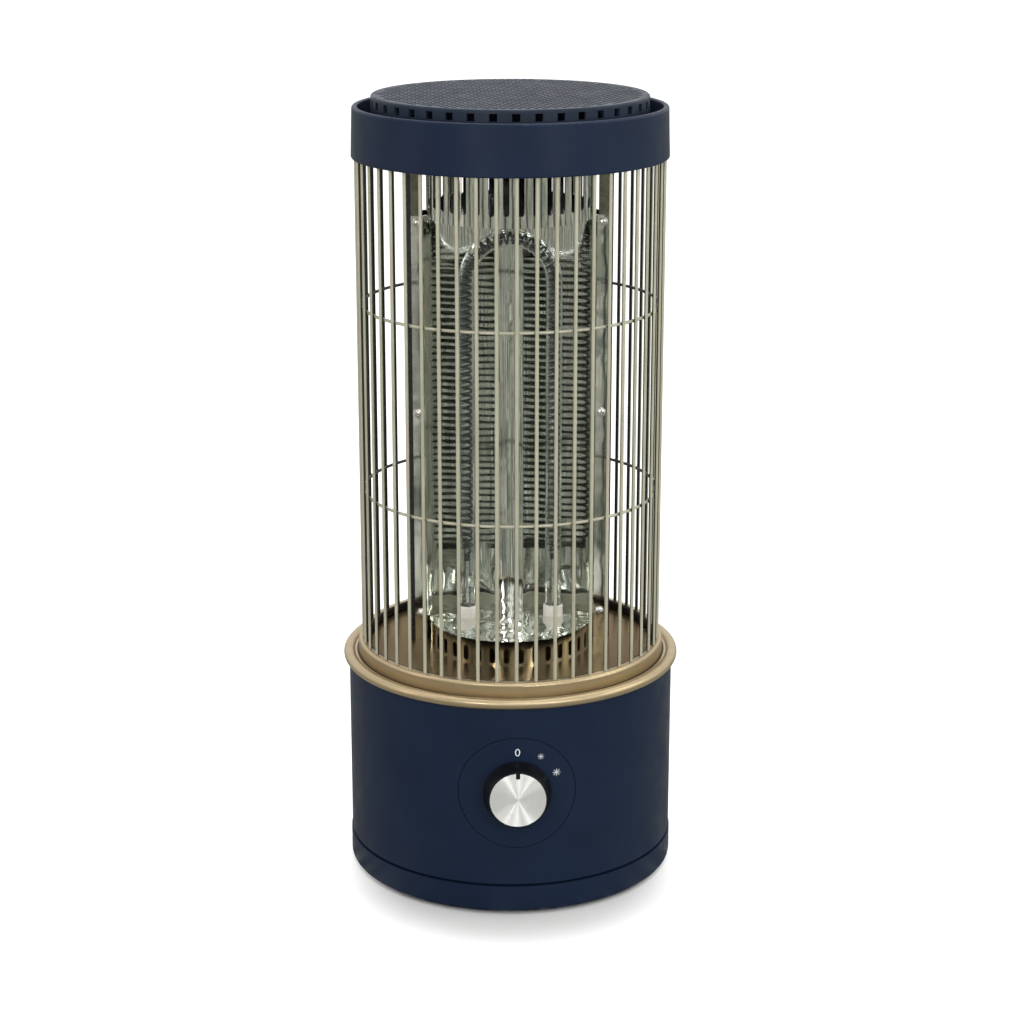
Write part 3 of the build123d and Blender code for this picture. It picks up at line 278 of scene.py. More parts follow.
# Material helpers
def finish_of(name, color, metallic, roughness):
    """A material with one shader, whose plain values are set on the shader's own sockets."""
    material = bpy.data.materials.new(name)
    material.use_nodes = True
    shader = material.node_tree.nodes["Principled BSDF"]
    shader.inputs["Base Color"].default_value = (*color, 1)
    shader.inputs["Metallic"].default_value = metallic
    shader.inputs["Roughness"].default_value = roughness
    return material, material.node_tree, shader


def roughen(tree, shader, value, low, high):
    """Lets the roughness swing between low and high by a noise value."""
    tree.links.new(mapped(tree, value, NOISE_REACH, (low, high)), shader.inputs["Roughness"])


def tint(tree, shader, value, dark, light):
    """Blends the base colour from dark to light by a noise value."""
    color = colour_ramp(tree, value, tuple(zip(NOISE_REACH, (dark, light))))
    tree.links.new(color, shader.inputs["Base Color"])


def relief(tree, shader, value, depth, strength, under=None):
    """Raises the surface by a value, depth metres at most, on top of another relief if one is given."""
    bump = tree.nodes.new("ShaderNodeBump")
    bump.inputs["Distance"].default_value = depth
    bump.inputs["Strength"].default_value = strength
    tree.links.new(value, bump.inputs["Height"])
    if under is not None:
        tree.links.new(under, bump.inputs["Normal"])
    tree.links.new(bump.outputs["Normal"], shader.inputs["Normal"])
    return bump.outputs["Normal"]


def inner_zone(tree, shader, mask, limit, color, metallic):
    """Gives the surface its own colour and metallic value where it lies within a limit.

    The mask picks the directions in which the distance from the origin counts.
    """
    edge = 0.1 * MM
    distance = length_of(tree, scaled(tree, object_point(tree), mask))
    outside = mapped(tree, distance, (limit - edge, limit + edge))
    both = tree.nodes.new("ShaderNodeMix")
    both.data_type = "RGBA"
    both.inputs["A"].default_value = (*color, 1)
    base = shader.inputs["Base Color"]
    metal = shader.inputs["Metallic"]
    tree.links.new(outside, both.inputs["Factor"])
    tree.links.new(base.links[0].from_socket, both.inputs["B"])
    tree.links.new(both.outputs["Result"], base)
    tree.links.new(mapped(tree, outside, (0.0, 1.0), (metallic, metal.default_value)), metal)


# Masks of inner zones, and colours that several steel sheets share, among them the black of painted shade
AROUND_AXIS = (1, 1, 0)
ACROSS = (1, 0, 0)
UPRIGHT = (0, 0, 1)
STEEL = (0.58, 0.585, 0.54)
# The black of painted shade inside the drums, where no light reaches
PAINTED_SHADE_BLACK = (0.006, 0.006, 0.005)


# Materials
def navy_plastic():
    """Dark blue moulded plastic with a fine spark-eroded texture."""
    material, tree, shader = finish_of("navy_plastic", (0.006, 0.016, 0.044), 0.0, 0.45)
    shader.inputs["Specular IOR Level"].default_value = 0.13
    roughen(tree, shader, grain(tree, 60), 0.4, 0.5)
    tint(tree, shader, grain(tree, 25), (0.005, 0.012, 0.031), (0.0064, 0.0148, 0.037))
    relief(tree, shader, grain(tree, 2400, detail=2), 0.00004, 0.5)
    return material


def dark_grille():
    """Dark blue-grey satin paint on perforated sheet."""
    material, tree, shader = finish_of("dark_grille", (0.03, 0.042, 0.07), 0.0, 0.42)
    shader.inputs["Specular IOR Level"].default_value = 0.14
    roughen(tree, shader, grain(tree, 90), 0.36, 0.48)
    tint(tree, shader, grain(tree, 30), (0.011, 0.0175, 0.031), (0.016, 0.024, 0.042))
    relief(tree, shader, grain(tree, 1800), 0.00003, 0.5)
    return material


def gold_trim(name="gold_trim", shade_radius=0.0):
    """Champagne metallic lacquer with a fine flake, and painted shade on faces nearer to the axis than a
    radius.
    """
    material, tree, shader = finish_of(name, (0.4, 0.3, 0.18), 0.9, 0.36)
    roughen(tree, shader, grain(tree, 120), 0.3, 0.42)
    tint(tree, shader, grain(tree, 2600, detail=1), (0.38, 0.3, 0.185), (0.47, 0.375, 0.23))
    relief(tree, shader, grain(tree, 700), 0.00003, 0.4)
    # Painted shade: dark and matt nearer to the axis than the shade radius, and the whole lacquer shines less
    if shade_radius:
        shader.inputs["Specular IOR Level"].default_value = 0.1
        inner_zone(tree, shader, AROUND_AXIS, shade_radius, (0.015, 0.012, 0.009), 0.0)
    return material


def champagne_wire(name="champagne_wire", shade_radius=CAGE_RADIUS):
    """Champagne lacquer on drawn wire, with painted shade on its inner side, nearer to the axis than a
    radius.
    """
    material, tree, shader = finish_of(name, (0.5, 0.45, 0.34), 0.25, 0.33)
    streaks = grain(tree, 900, (1, 1, 0.05))
    roughen(tree, shader, streaks, 0.26, 0.42)
    tint(tree, shader, grain(tree, 130, (1, 1, 0.2)), (0.37, 0.355, 0.265), (0.46, 0.445, 0.34))
    relief(tree, shader, streaks, 0.00003, 0.5)
    # Painted shade: the wire's side towards the axis is dark
    inner_zone(tree, shader, AROUND_AXIS, shade_radius, (0.03, 0.03, 0.024), 0.4)
    return material


def bronze_pan():
    """Glossy bronze enamel on pressed sheet, hardly wavy."""
    material, tree, shader = finish_of("bronze_pan", (0.2, 0.145, 0.095), 0.85, 0.2)
    shader.inputs["Specular Tint"].default_value = (0.93, 0.8, 0.62, 1)
    roughen(tree, shader, grain(tree, 20, detail=1), 0.26, 0.32)
    tint(tree, shader, grain(tree, 16, detail=1), (0.12, 0.086, 0.05), (0.155, 0.116, 0.072))
    relief(tree, shader, grain(tree, 25, detail=0), 0.00006, 0.3)
    return material


def polished_steel(name="polished_steel", shade_radius=0.0):
    """Mirror-polished sheet: faint rolling lines, soft dents that bend the reflections.

    A drum's faces nearer to the axis than a radius carry painted shade in black.
    """
    material, tree, shader = finish_of(name, STEEL, 1.0, 0.07)
    roughen(tree, shader, grain(tree, 500, (1, 1, 0.04)), 0.05, 0.12)
    tint(tree, shader, grain(tree, 18), (0.55, 0.565, 0.49), (0.61, 0.62, 0.56))
    dents = relief(tree, shader, grain(tree, 55, detail=1), 0.0004, 0.5)
    relief(tree, shader, grain(tree, 900, (1, 1, 0.03)), 0.00001, 0.5, under=dents)
    # Painted shade: black inside the drum, nearer to the axis than the shade radius
    if shade_radius:
        inner_zone(tree, shader, AROUND_AXIS, shade_radius, PAINTED_SHADE_BLACK, 0.0)
    return material


def rippled_steel():
    """Bright thin sheet of the lower dish, buckled by heat, so that its reflections break up."""
    material, tree, shader = finish_of("rippled_steel", (0.8, 0.8, 0.76), 1.0, 0.06)
    roughen(tree, shader, grain(tree, 300), 0.04, 0.12)
    tint(tree, shader, grain(tree, 40), (0.74, 0.745, 0.69), (0.84, 0.84, 0.8))
    dents = relief(tree, shader, grain(tree, 48, detail=1), 0.003, 0.7)
    relief(tree, shader, grain(tree, 130, detail=1), 0.0006, 0.5, under=dents)
    return material


def upper_dish_steel_and_shade(top):
    """Dish under the upper drum: polished below the given level, painted shade in black above it, inside the
    drum.
    """
    material, tree, shader = finish_of("upper_dish_steel_and_shade", PAINTED_SHADE_BLACK, 0.0, 0.12)
    roughen(tree, shader, grain(tree, 300), 0.1, 0.2)
    tint(tree, shader, grain(tree, 60), (0.005, 0.005, 0.005), (0.009, 0.009, 0.008))
    relief(tree, shader, grain(tree, 90, detail=1), 0.0004, 0.5)
    # Steel below the level; the dark colour above it is painted shade
    inner_zone(tree, shader, UPRIGHT, top, STEEL, 1.0)
    return material


def shield_steel():
    """Back shield: heat-browned sheet, with black edges beside the reflector's flanges."""
    material, tree, shader = finish_of("shield_steel", (0.012, 0.012, 0.013), 0.0, 0.3)
    roughen(tree, shader, grain(tree, 200), 0.2, 0.36)
    tint(tree, shader, grain(tree, 60), (0.009, 0.009, 0.01), (0.016, 0.016, 0.017))
    relief(tree, shader, grain(tree, 70, detail=1), 0.0005, 0.5)
    inner_zone(tree, shader, ACROSS, FLANGE_REACH, (0.15, 0.145, 0.11), 1.0)
    return material


def plain_steel():
    """Galvanised sheet, dull and slightly clouded."""
    material, tree, shader = finish_of("plain_steel", (0.5, 0.5, 0.5), 0.9, 0.4)
    roughen(tree, shader, grain(tree, 140), 0.3, 0.5)
    tint(tree, shader, grain(tree, 220), (0.42, 0.42, 0.42), (0.58, 0.58, 0.59))
    relief(tree, shader, grain(tree, 600), 0.00003, 0.4)
    return material


def black_enamel():
    """Heat-proof black enamel, half matt."""
    material, tree, shader = finish_of("black_enamel", (0.012, 0.012, 0.013), 0.0, 0.42)
    roughen(tree, shader, grain(tree, 200), 0.36, 0.52)
    tint(tree, shader, grain(tree, 60), (0.009, 0.009, 0.01), (0.016, 0.016, 0.017))
    relief(tree, shader, grain(tree, 900), 0.00004, 0.5)
    return material


def quartz():
    """Clear quartz glass, faintly drawn lengthwise."""
    material, tree, shader = finish_of("quartz", (0.93, 0.95, 0.94), 0.0, 0.02)
    shader.inputs["Transmission Weight"].default_value = 1.0
    shader.inputs["IOR"].default_value = 1.46
    roughen(tree, shader, grain(tree, 90, (1, 1, 0.2)), 0.0, 0.03)
    relief(tree, shader, grain(tree, 120, (1, 1, 0.15)), 0.00003, 0.4)
    return material


def coil_wire():
    """Resistance wire with a dark, slightly uneven oxide."""
    material, tree, shader = finish_of("coil_wire", (0.012, 0.012, 0.012), 0.0, 0.5)
    roughen(tree, shader, grain(tree, 800), 0.28, 0.5)
    tint(tree, shader, grain(tree, 350), (0.007, 0.007, 0.007), (0.02, 0.019, 0.018))
    relief(tree, shader, grain(tree, 3000), 0.00002, 0.5)
    return material


def white_ceramic():
    """Unglazed white ceramic, very slightly stained."""
    material, tree, shader = finish_of("white_ceramic", (0.84, 0.82, 0.76), 0.0, 0.55)
    roughen(tree, shader, grain(tree, 300), 0.45, 0.65)
    tint(tree, shader, grain(tree, 160), (0.58, 0.57, 0.5), (0.7, 0.69, 0.62))
    relief(tree, shader, grain(tree, 2500), 0.00003, 0.5)
    return material


def zinc_screw():
    """Bright zinc plating with a faint warm cast."""
    material, tree, shader = finish_of("zinc_screw", (0.62, 0.61, 0.57), 1.0, 0.3)
    roughen(tree, shader, grain(tree, 900), 0.2, 0.4)
    tint(tree, shader, grain(tree, 400), (0.52, 0.5, 0.46), (0.68, 0.67, 0.64))
    relief(tree, shader, grain(tree, 2500), 0.00002, 0.5)
    return material


def black_rubber():
    """Matt black rubber with a dusty bloom."""
    material, tree, shader = finish_of("black_rubber", (0.02, 0.02, 0.02), 0.0, 0.75)
    roughen(tree, shader, grain(tree, 250), 0.65, 0.85)
    tint(tree, shader, grain(tree, 180), (0.015, 0.015, 0.015), (0.032, 0.032, 0.031))
    relief(tree, shader, grain(tree, 1600), 0.00006, 0.6)
    return material


def black_plastic():
    """Smooth black plastic with a soft gloss."""
    material, tree, shader = finish_of("black_plastic", (0.004, 0.0045, 0.006), 0.0, 0.3)
    shader.inputs["Specular IOR Level"].default_value = 0.16
    roughen(tree, shader, grain(tree, 220), 0.26, 0.36)
    tint(tree, shader, grain(tree, 90), (0.003, 0.0035, 0.005), (0.005, 0.006, 0.008))
    relief(tree, shader, grain(tree, 1500), 0.00002, 0.4)
    return material


def switch_plastic():
    """Grey moulded plastic of the switch inside."""
    material, tree, shader = finish_of("switch_plastic", (0.09, 0.09, 0.09), 0.0, 0.5)
    roughen(tree, shader, grain(tree, 260), 0.42, 0.6)
    tint(tree, shader, grain(tree, 120), (0.075, 0.075, 0.075), (0.105, 0.105, 0.105))
    relief(tree, shader, grain(tree, 1800), 0.00004, 0.5)
    return material


def spun_aluminium():
    """Aluminium turned on a lathe: fine rings round the knob's axis spread the light into rays."""
    material, tree, shader = finish_of("spun_aluminium", (0.88, 0.88, 0.86), 0.72, 0.5)
    shader.inputs["Anisotropic"].default_value = 1.0
    shader.inputs["Anisotropic Rotation"].default_value = 0.25
    centre = tree.nodes.new("ShaderNodeMapping")
    centre.inputs["Location"].default_value = (0, 0, -DIAL_LEVEL)
    rings = tree.nodes.new("ShaderNodeTexWave")
    rings.wave_type = "RINGS"
    rings.rings_direction = "Y"
    rings.inputs["Scale"].default_value = 900
    rings.inputs["Distortion"].default_value = 1.5
    rings.inputs["Detail"].default_value = 2
    tangent = tree.nodes.new("ShaderNodeTangent")
    tangent.direction_type = "RADIAL"
    tangent.axis = "Y"
    tree.links.new(object_point(tree), centre.inputs["Vector"])
    tree.links.new(centre.outputs["Vector"], rings.inputs["Vector"])
    tree.links.new(tangent.outputs["Tangent"], shader.inputs["Tangent"])
    roughen(tree, shader, rings.outputs["Fac"], 0.42, 0.5)
    tint(tree, shader, grain(tree, 120), (0.84, 0.84, 0.82), (0.92, 0.92, 0.9))
    relief(tree, shader, rings.outputs["Fac"], 0.00001, 0.6)
    return material


def brass():
    """Plain brass with a light tarnish."""
    material, tree, shader = finish_of("brass", (0.62, 0.46, 0.2), 1.0, 0.3)
    roughen(tree, shader, grain(tree, 400), 0.22, 0.42)
    tint(tree, shader, grain(tree, 250), (0.5, 0.35, 0.14), (0.68, 0.52, 0.24))
    relief(tree, shader, grain(tree, 2000), 0.00002, 0.4)
    return material


def lead_insulation():
    """Pale glass-fibre braid over the inner leads."""
    material, tree, shader = finish_of("lead_insulation", (0.6, 0.57, 0.5), 0.0, 0.8)
    roughen(tree, shader, grain(tree, 900), 0.7, 0.9)
    tint(tree, shader, grain(tree, 1500), (0.48, 0.45, 0.38), (0.68, 0.65, 0.58))
    relief(tree, shader, grain(tree, 2600), 0.0001, 0.7)
    return material


def dial_ink():
    """Pale grey print on the dial."""
    material, tree, shader = finish_of("dial_ink", (0.7, 0.72, 0.76), 0.0, 0.5)
    tint(tree, shader, grain(tree, 900), (0.62, 0.64, 0.69), (0.74, 0.76, 0.81))
    return material


finish_makers = (
    navy_plastic, dark_grille, gold_trim, champagne_wire, bronze_pan, polished_steel,
    plain_steel, black_enamel, quartz, coil_wire, white_ceramic, zinc_screw,
    black_rubber, black_plastic, switch_plastic, spun_aluminium, brass, lead_insulation, dial_ink,
)
finishes = {maker.__name__: maker() for maker in finish_makers}
slot_of_node = {subpart["node"]: subpart["material_slot"] for subpart in frame["record"]["subparts"]}
for node, piece in nodes.items():
    piece.data.materials.clear()
    piece.data.materials.append(finishes[slot_of_node[node]])
foot_ring_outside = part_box("cage_foot_ring")[1].x
# Radii within which painted shade darkens the foot ring's inner wall, the collar's groove floor and the
# drums' insides
foot_ring_shade = foot_ring_outside - FOOT_RING_WIDTH + 2.0 * MM
collar_shade = foot_ring_outside + 1.3 * MM
drum_shade = DRUM_RADIUS - SHEET / 2
# The guard rings' wire carries the same painted shade on its inner side
guard_wire = champagne_wire("guard_wire", GUARD_RADIUS)
own_finishes = {
    "back_shield": shield_steel(),
    "element_terminals": finishes["zinc_screw"],
    "upper_slotted_ring": polished_steel("drum_steel_and_shade", drum_shade),
    "lower_slotted_ring": polished_steel("slotted_ring_steel_and_shade", drum_shade),
    "lower_dish": rippled_steel(),
    "upper_dish": upper_dish_steel_and_shade(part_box("upper_dish")[0].z + SHEET / 2),
    "cage_foot_ring": gold_trim("foot_ring_lacquer_and_shade", foot_ring_shade),
    "gold_collar": gold_trim("collar_lacquer_and_shade", collar_shade),
    "guard_ring_upper": guard_wire,
    "guard_ring_lower": guard_wire,
}
for node, finish in own_finishes.items():
    nodes[node].data.materials[0] = finish


# Element: the glass tube and the coil inside it
def leg_and_arch(run, leg):
    """Centre line of the tube at a run along it: up the right leg, round the arch, down the left leg.

    Returns the point and the outward direction, which turns with the arch.
    """
    turn = np.clip((run - leg) / LEG_X, 0, np.pi)
    outward = np.stack([np.cos(turn), np.zeros_like(turn), np.sin(turn)], -1)
    below = np.minimum(run - leg, 0) - np.maximum(run - leg - np.pi * LEG_X, 0)
    centre = np.array([0, LEG_Y, ARCH_LEVEL]) + outward * LEG_X
    centre[:, 2] += below
    return centre, outward


def glass_tube():
    """A round wall carried along the legs and the arch.

    Its rings run down one way as the outer skin and back as the inner skin, and the ends are closed.
    """
    sides, arch_steps, leg_steps = 48, 64, 8
    leg = ARCH_LEVEL - LEG_BOTTOM
    arch_length = np.pi * LEG_X
    legs = np.linspace(0, leg, leg_steps + 1)[:-1]
    arch = np.linspace(leg, leg + arch_length, arch_steps + 1)
    run = np.concatenate([legs, arch, 2 * leg + arch_length - legs[::-1]])
    centre, outward = leg_and_arch(run, leg)
    across = np.broadcast_to([0.0, 1.0, 0.0], centre.shape)
    outer = along(centre, outward, across, circle_profile(TUBE_RADIUS, sides))
    inner = along(centre, outward, across, circle_profile(TUBE_RADIUS - TUBE_WALL, sides))
    rings = np.concatenate([outer, inner[::-1]])
    quads = grid_faces(len(rings), sides, close_rows=True, close_columns=True)
    piece = shell("glass_tube", rings, quads, "quartz")
    crisp(piece, 50)
    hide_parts("quartz_tube")


def wound_wire():
    """A helix round the tube's centre line, whose radius shrinks at both ends to close turns on the pins.

    The wire's centre is the centre line + radius * (cos outward + sin forward), and its skin is a circle
    across the wire's own direction.
    """
    steps, sides = 20, 8
    tail_turns = 4
    tail_start, tail_pitch, tail_radius = 4.6 * MM, 1.25 * MM, 1.6 * MM
    leg = ARCH_LEVEL - COIL_START
    length = 2 * leg + np.pi * LEG_X
    turns = np.arange(-tail_turns * steps, (COIL_TURNS + tail_turns) * steps + 1) / steps
    past_end = np.maximum(-turns, 0) + np.maximum(turns - COIL_TURNS, 0)
    tail = np.minimum(past_end, 1) * tail_start + np.maximum(past_end - 1, 0) * tail_pitch
    run = np.clip(turns, 0, COIL_TURNS) * length / COIL_TURNS + np.where(turns < 0, -1, 1) * tail
    centre, outward = leg_and_arch(run, leg)
    ease = np.clip(past_end, 0, 1)
    ease = ease * ease * (3 - 2 * ease)
    radius = COIL_RADIUS + (tail_radius - COIL_RADIUS) * ease
    angle = turns * TURN
    forward = np.array([0.0, 1.0, 0.0])
    away = radius[:, None] * (np.cos(angle)[:, None] * outward + np.sin(angle)[:, None] * forward)
    path = centre + away
    direction = unit(np.gradient(path, axis=0))
    across = unit(away - (away * direction).sum(1)[:, None] * direction)
    piece = round_wire("wound_wire", path, across, COIL_WIRE, sides, "coil_wire")
    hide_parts("heating_coil")


# Reflector: one sheet with two troughs, slightly wavy as polished sheet is
def trough_profile(half_width):
    """Front line of the sheet seen from above: flange, left trough, ridge, right trough, flange.

    Each trough is an arc of a circle whose centre lies in front of the flanges. It leaves the flange
    where its y is 0, and ends where it meets the ridge, which swells forwards as a flat parabola.
    """
    arc_points, flange_points, ridge_points = 61, 5, 10
    flange_end = np.pi - np.arcsin(-TROUGH_Y / TROUGH_RADIUS)
    ridge_end = np.arcsin((RIDGE_Y - TROUGH_Y) / TROUGH_RADIUS)
    angle = np.linspace(flange_end, ridge_end, arc_points)
    trough = TROUGH_RADIUS * np.stack([np.cos(angle), np.sin(angle)], -1) + (-TROUGH_X, TROUGH_Y)
    flange_x = np.linspace(-half_width, trough[0, 0], flange_points + 1)[:-1]
    flange = np.stack([flange_x, np.zeros(flange_points)], -1)
    across = np.linspace(1, 0, ridge_points + 1)[1:]
    ridge = np.stack([across * trough[-1, 0], RIDGE_Y - RIDGE_CROWN * (1 - across**2)], -1)
    half = np.concatenate([flange, trough, ridge])
    return np.concatenate([half, half[-2::-1] * (-1, 1)])


def sheet_waves(s, z, y, low, high):
    """How far the sheet stands off its true shape: sines of the run across it, s, and of the level, z.

    The waves are weak on the flat flanges and the ridge, where y is small, fade out at the sheet's lower
    and upper end, and are seven times as high near its foot.
    """
    foot_height, foot_blend, end_blend, hollow_blend = 52 * MM, 35 * MM, 12 * MM, 3 * MM
    flat_share, foot_gain = 0.15, 6
    foot = np.clip((low + foot_height - z) / foot_blend, 0, 1)
    waves = (
        np.sin(z * 95 + 3 * np.sin(s * 40))
        + 0.7 * np.sin(z * 210 + s * 160)
        + 0.6 * np.sin(z * 61 - s * 220 + 1.3)
        + 0.5 * np.sin(s * 330 + 2 * np.sin(z * 33))
        + foot * np.sin(z * 330 + 2.5 * np.sin(s * 110))
    )
    hollow = np.clip(np.minimum(y, np.maximum(y - RIDGE_Y, 0)) / hollow_blend, 0, 1)
    ends = np.clip(np.minimum(z - low, high - z) / end_blend, 0, 1)
    share = flat_share + (1 - flat_share) * hollow
    return waves * WAVE_HEIGHT * (ends * share * (1 + foot_gain * foot))


def reflector_sheet():
    """The profile carried upwards and moved along its normals by slow waves, with a back skin behind it."""
    level_count = 121
    low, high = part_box("reflector")
    line = trough_profile(high.x)
    ahead = unit(np.gradient(line, axis=0))
    back = np.stack([-ahead[:, 1], ahead[:, 0]], -1)
    run = np.concatenate([[0], np.cumsum(np.linalg.norm(np.diff(line, axis=0), axis=1))])
    s, z = np.meshgrid(run, np.linspace(low.z, high.z, level_count))
    waves = sheet_waves(s, z, line[None, :, 1], low.z, high.z)
    skins = []
    for depth in (0.0, SHEET):
        x = line[None, :, 0] + back[None, :, 0] * (depth + waves)
        y = line[None, :, 1] + back[None, :, 1] * (depth + waves)
        skins.append(np.stack([x, np.maximum(y, 0), z], -1))
    front, rear = skins
    section = np.concatenate([front, rear[:, ::-1]], 1)
    rows, columns = section.shape[:2]
    quads = grid_faces(rows, columns, close_columns=True)
    first = np.arange(columns // 2 - 1)
    bottom = np.stack([first, first + 1, columns - 2 - first, columns - 1 - first], -1)
    top = bottom + (rows - 1) * columns
    quads = np.concatenate([quads, bottom[:, ::-1], top])
    piece = shell("reflector_sheet", section, quads, "polished_steel")
    crisp(piece, 40)
    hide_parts("reflector")


# Screws with a cross recess
def cross_screw(radius, height, shank, length):
    """A screw standing along Z with its crown at 0: domed head with a cross recess, rim, shank and tip.

    The head is a square grid drawn out into a disc: x = u * sqrt(1 - v * v / 2), and y likewise. The crown
    falls with the square of the distance from the axis, and the recess is cut where u or v is small.
    """
    dome, recess = 0.45 * height, 0.62 * height
    half_arm, arm_reach = 0.12, 0.57
    tip_length, tip_radius = 0.6 * shank, 0.4 * shank
    half_lines = np.array([0.11, 0.16, 0.34, 0.56, 0.62, 0.86, 1])
    lines = np.concatenate([-half_lines[::-1], [0], half_lines])
    u, v = np.meshgrid(lines, lines)
    x = u * np.sqrt(1 - v * v / 2)
    y = v * np.sqrt(1 - u * u / 2)
    in_arm = np.minimum(abs(u), abs(v)) < half_arm
    in_reach = np.maximum(abs(u), abs(v)) < arm_reach
    z = -dome * (x * x + y * y) - np.where(in_arm & in_reach, recess, 0)
    crown = np.stack([x * radius, y * radius, z], -1).reshape(-1, 3)
    side = len(lines)
    index = np.arange(side * side).reshape(side, side)
    rim = np.concatenate([index[0, :-1], index[:-1, -1], index[-1, :0:-1], index[:0:-1, 0]])
    around = unit(crown[rim, :2])
    points = [crown]
    faces = [grid_faces(side, side)]
    total = side * side
    last = rim
    for ring_radius, level in (
        (radius, -height),
        (shank, -height),
        (shank, -height - length + tip_length),
        (tip_radius, -height - length),
        (0.0, -height - length),
    ):
        points.append(np.concatenate([around * ring_radius, np.full((len(rim), 1), level)], 1))
        now = total + np.arange(len(rim))
        faces.append(np.stack([last, now, np.roll(now, -1), np.roll(last, -1)], -1))
        total += len(rim)
        last = now
    return np.concatenate(points), np.concatenate(faces)


def turned(axis):
    """A 3 by 3 turn that takes +Z to the given axis."""
    axis = np.asarray(axis, float)
    side = np.cross(axis, [0.0, 1.0, 0.0])
    if np.linalg.norm(side) < 0.1:
        side = np.cross(axis, [1.0, 0.0, 0.0])
    side /= np.linalg.norm(side)
    return np.stack([side, np.cross(axis, side), axis], -1)


def screw_group(name, node, size, places, axis):
    """All screws of one kind: the template copied to each place, each with its cross at its own angle.

    The size is the head's radius and height, the shank's radius and its length. The heads face the axis.
    """
    twist_step = 2.4
    template, quads = cross_screw(*size)
    matrices = []
    for number, place in enumerate(places):
        twist = number * twist_step
        spin = np.array([[np.cos(twist), -np.sin(twist), 0], [np.sin(twist), np.cos(twist), 0], [0, 0, 1]])
        matrix = np.eye(4)
        matrix[:3, :3] = turned(axis) @ spin
        matrix[:3, 3] = place
        matrices.append(matrix)
    points, quads = several(template, quads, matrices)
    piece = shell(name, points, quads, "zinc_screw")
    crisp(piece, 40)
    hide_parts(node)


def ring_of_places(radius, count, start, level):
    """Points on a circle round the heater's axis, the first at a start in degrees."""
    angle = np.radians(start) + np.arange(count) * TURN / count
    return np.stack([radius * np.cos(angle), radius * np.sin(angle), np.full(count, level)], -1)


def small_screw(length):
    """Size of the heater's small screws, which differ only in length."""
    return 3.0 * MM, 2.0 * MM, 1.5 * MM, length


def all_screws():
    """Every screw group of the heater, with its crowns at the levels and places of the CAD part."""
    down, forward = (0, 0, -1), (0, -1, 0)
    between_wires = -90 + 180 / WIRE_COUNT

    flange_x, flange_y = 61.0 * MM, -2.0 * MM
    flange_levels = (174.0 * MM, 314.5 * MM, 443.0 * MM)
    flange = [(x, flange_y, z) for z in flange_levels for x in (flange_x, -flange_x)]
    screw_group("flange_screws", "reflector_screws", small_screw(7.0 * MM), flange, forward)

    plate = ring_of_places(90.0 * MM, 5, between_wires, 486.1 * MM)
    screw_group("plate_screws", "top_plate_screws", small_screw(11.6 * MM), plate, down)

    drum_level, strap_x, strap_y = 485.3 * MM, 63.0 * MM, 6.85 * MM
    straps = [(strap_x, strap_y, drum_level), (-strap_x, strap_y, drum_level)]
    drum = np.concatenate([ring_of_places(59.0 * MM, 3, 90, drum_level), straps])
    screw_group("drum_screws", "ceiling_screws", small_screw(3.9 * MM), drum, down)

    foot = ring_of_places(CAGE_RADIUS, 5, between_wires, 140.0 * MM)
    screw_group("ring_screws", "foot_ring_screws", small_screw(8.5 * MM), foot, down)

    cover_screw = (3.2 * MM, 2.5 * MM, 1.75 * MM, 22.0 * MM)
    plinth = ring_of_places(102.5 * MM, 4, -60.5, 7.5 * MM)
    screw_group("cover_screws", "plinth_screws", cover_screw, plinth, down)


# Cage: small welds where the guard rings cross the wires
def ring_welds():
    """Weld beads between each wire and each guard ring: a ball's points, drawn out along the ring."""
    rows, columns = 7, 10
    deep, wide, high = 0.9 * MM, 1.5 * MM, 1.1 * MM
    lift = np.linspace(-np.pi / 2, np.pi / 2, rows)[:, None]
    around = np.arange(columns)[None, :] * TURN / columns
    ball = np.stack(
        [
            deep * np.cos(lift) * np.cos(around),
            wide * np.cos(lift) * np.sin(around),
            high * np.sin(lift) * np.ones_like(around),
        ],
        -1,
    ).reshape(-1, 3)
    places = []
    for level in RING_LEVELS:
        for angle in -np.pi / 2 + np.arange(WIRE_COUNT) * TURN / WIRE_COUNT:
            matrix = np.eye(4)
            matrix[:2, :2] = [[np.cos(angle), -np.sin(angle)], [np.sin(angle), np.cos(angle)]]
            matrix[:2, 3] = (CAGE_RADIUS - WIRE_RADIUS) * np.array([np.cos(angle), np.sin(angle)])
            matrix[2, 3] = level
            places.append(matrix)
    points, quads = several(ball, grid_faces(rows, columns, close_columns=True), places)
    shell("ring_welds", points, quads, "champagne_wire")


# Grille: a cup with square holes in its wall and a finely perforated top
def grille_section():
    """Radius and level of each point of the cup's section, seen from the side.

    It goes up the outer wall, over the rounded shoulder, in to the perforated sheet's edge and back down
    the inside.
    """
    shoulder, rim_width, rim_depth, seat_width = 1.4 * MM, 2.6 * MM, 1.6 * MM, 0.3 * MM
    hole_top = GRILLE_TOP - 2.5 * MM
    hole_bottom = hole_top - GRILLE_HOLE
    bend = np.linspace(0, np.pi / 2, 7)[1:]
    inner = GRILLE_RADIUS - GRILLE_WALL
    rim = GRILLE_RADIUS - rim_width
    outside = [(GRILLE_RADIUS, z) for z in (GRILLE_FOOT, hole_bottom, hole_top, GRILLE_TOP - shoulder)]
    rounded_radius = GRILLE_RADIUS - shoulder * (1 - np.cos(bend))
    rounded_level = GRILLE_TOP - shoulder * (1 - np.sin(bend))
    rounded = np.stack([rounded_radius, rounded_level], -1)
    edge = [(rim, GRILLE_TOP), (rim, GRILLE_TOP - rim_depth), (inner - seat_width, GRILLE_TOP - rim_depth)]
    inside = [(inner, z) for z in (hole_top, hole_bottom, GRILLE_FOOT)]
    return np.concatenate([outside, rounded, edge, inside])


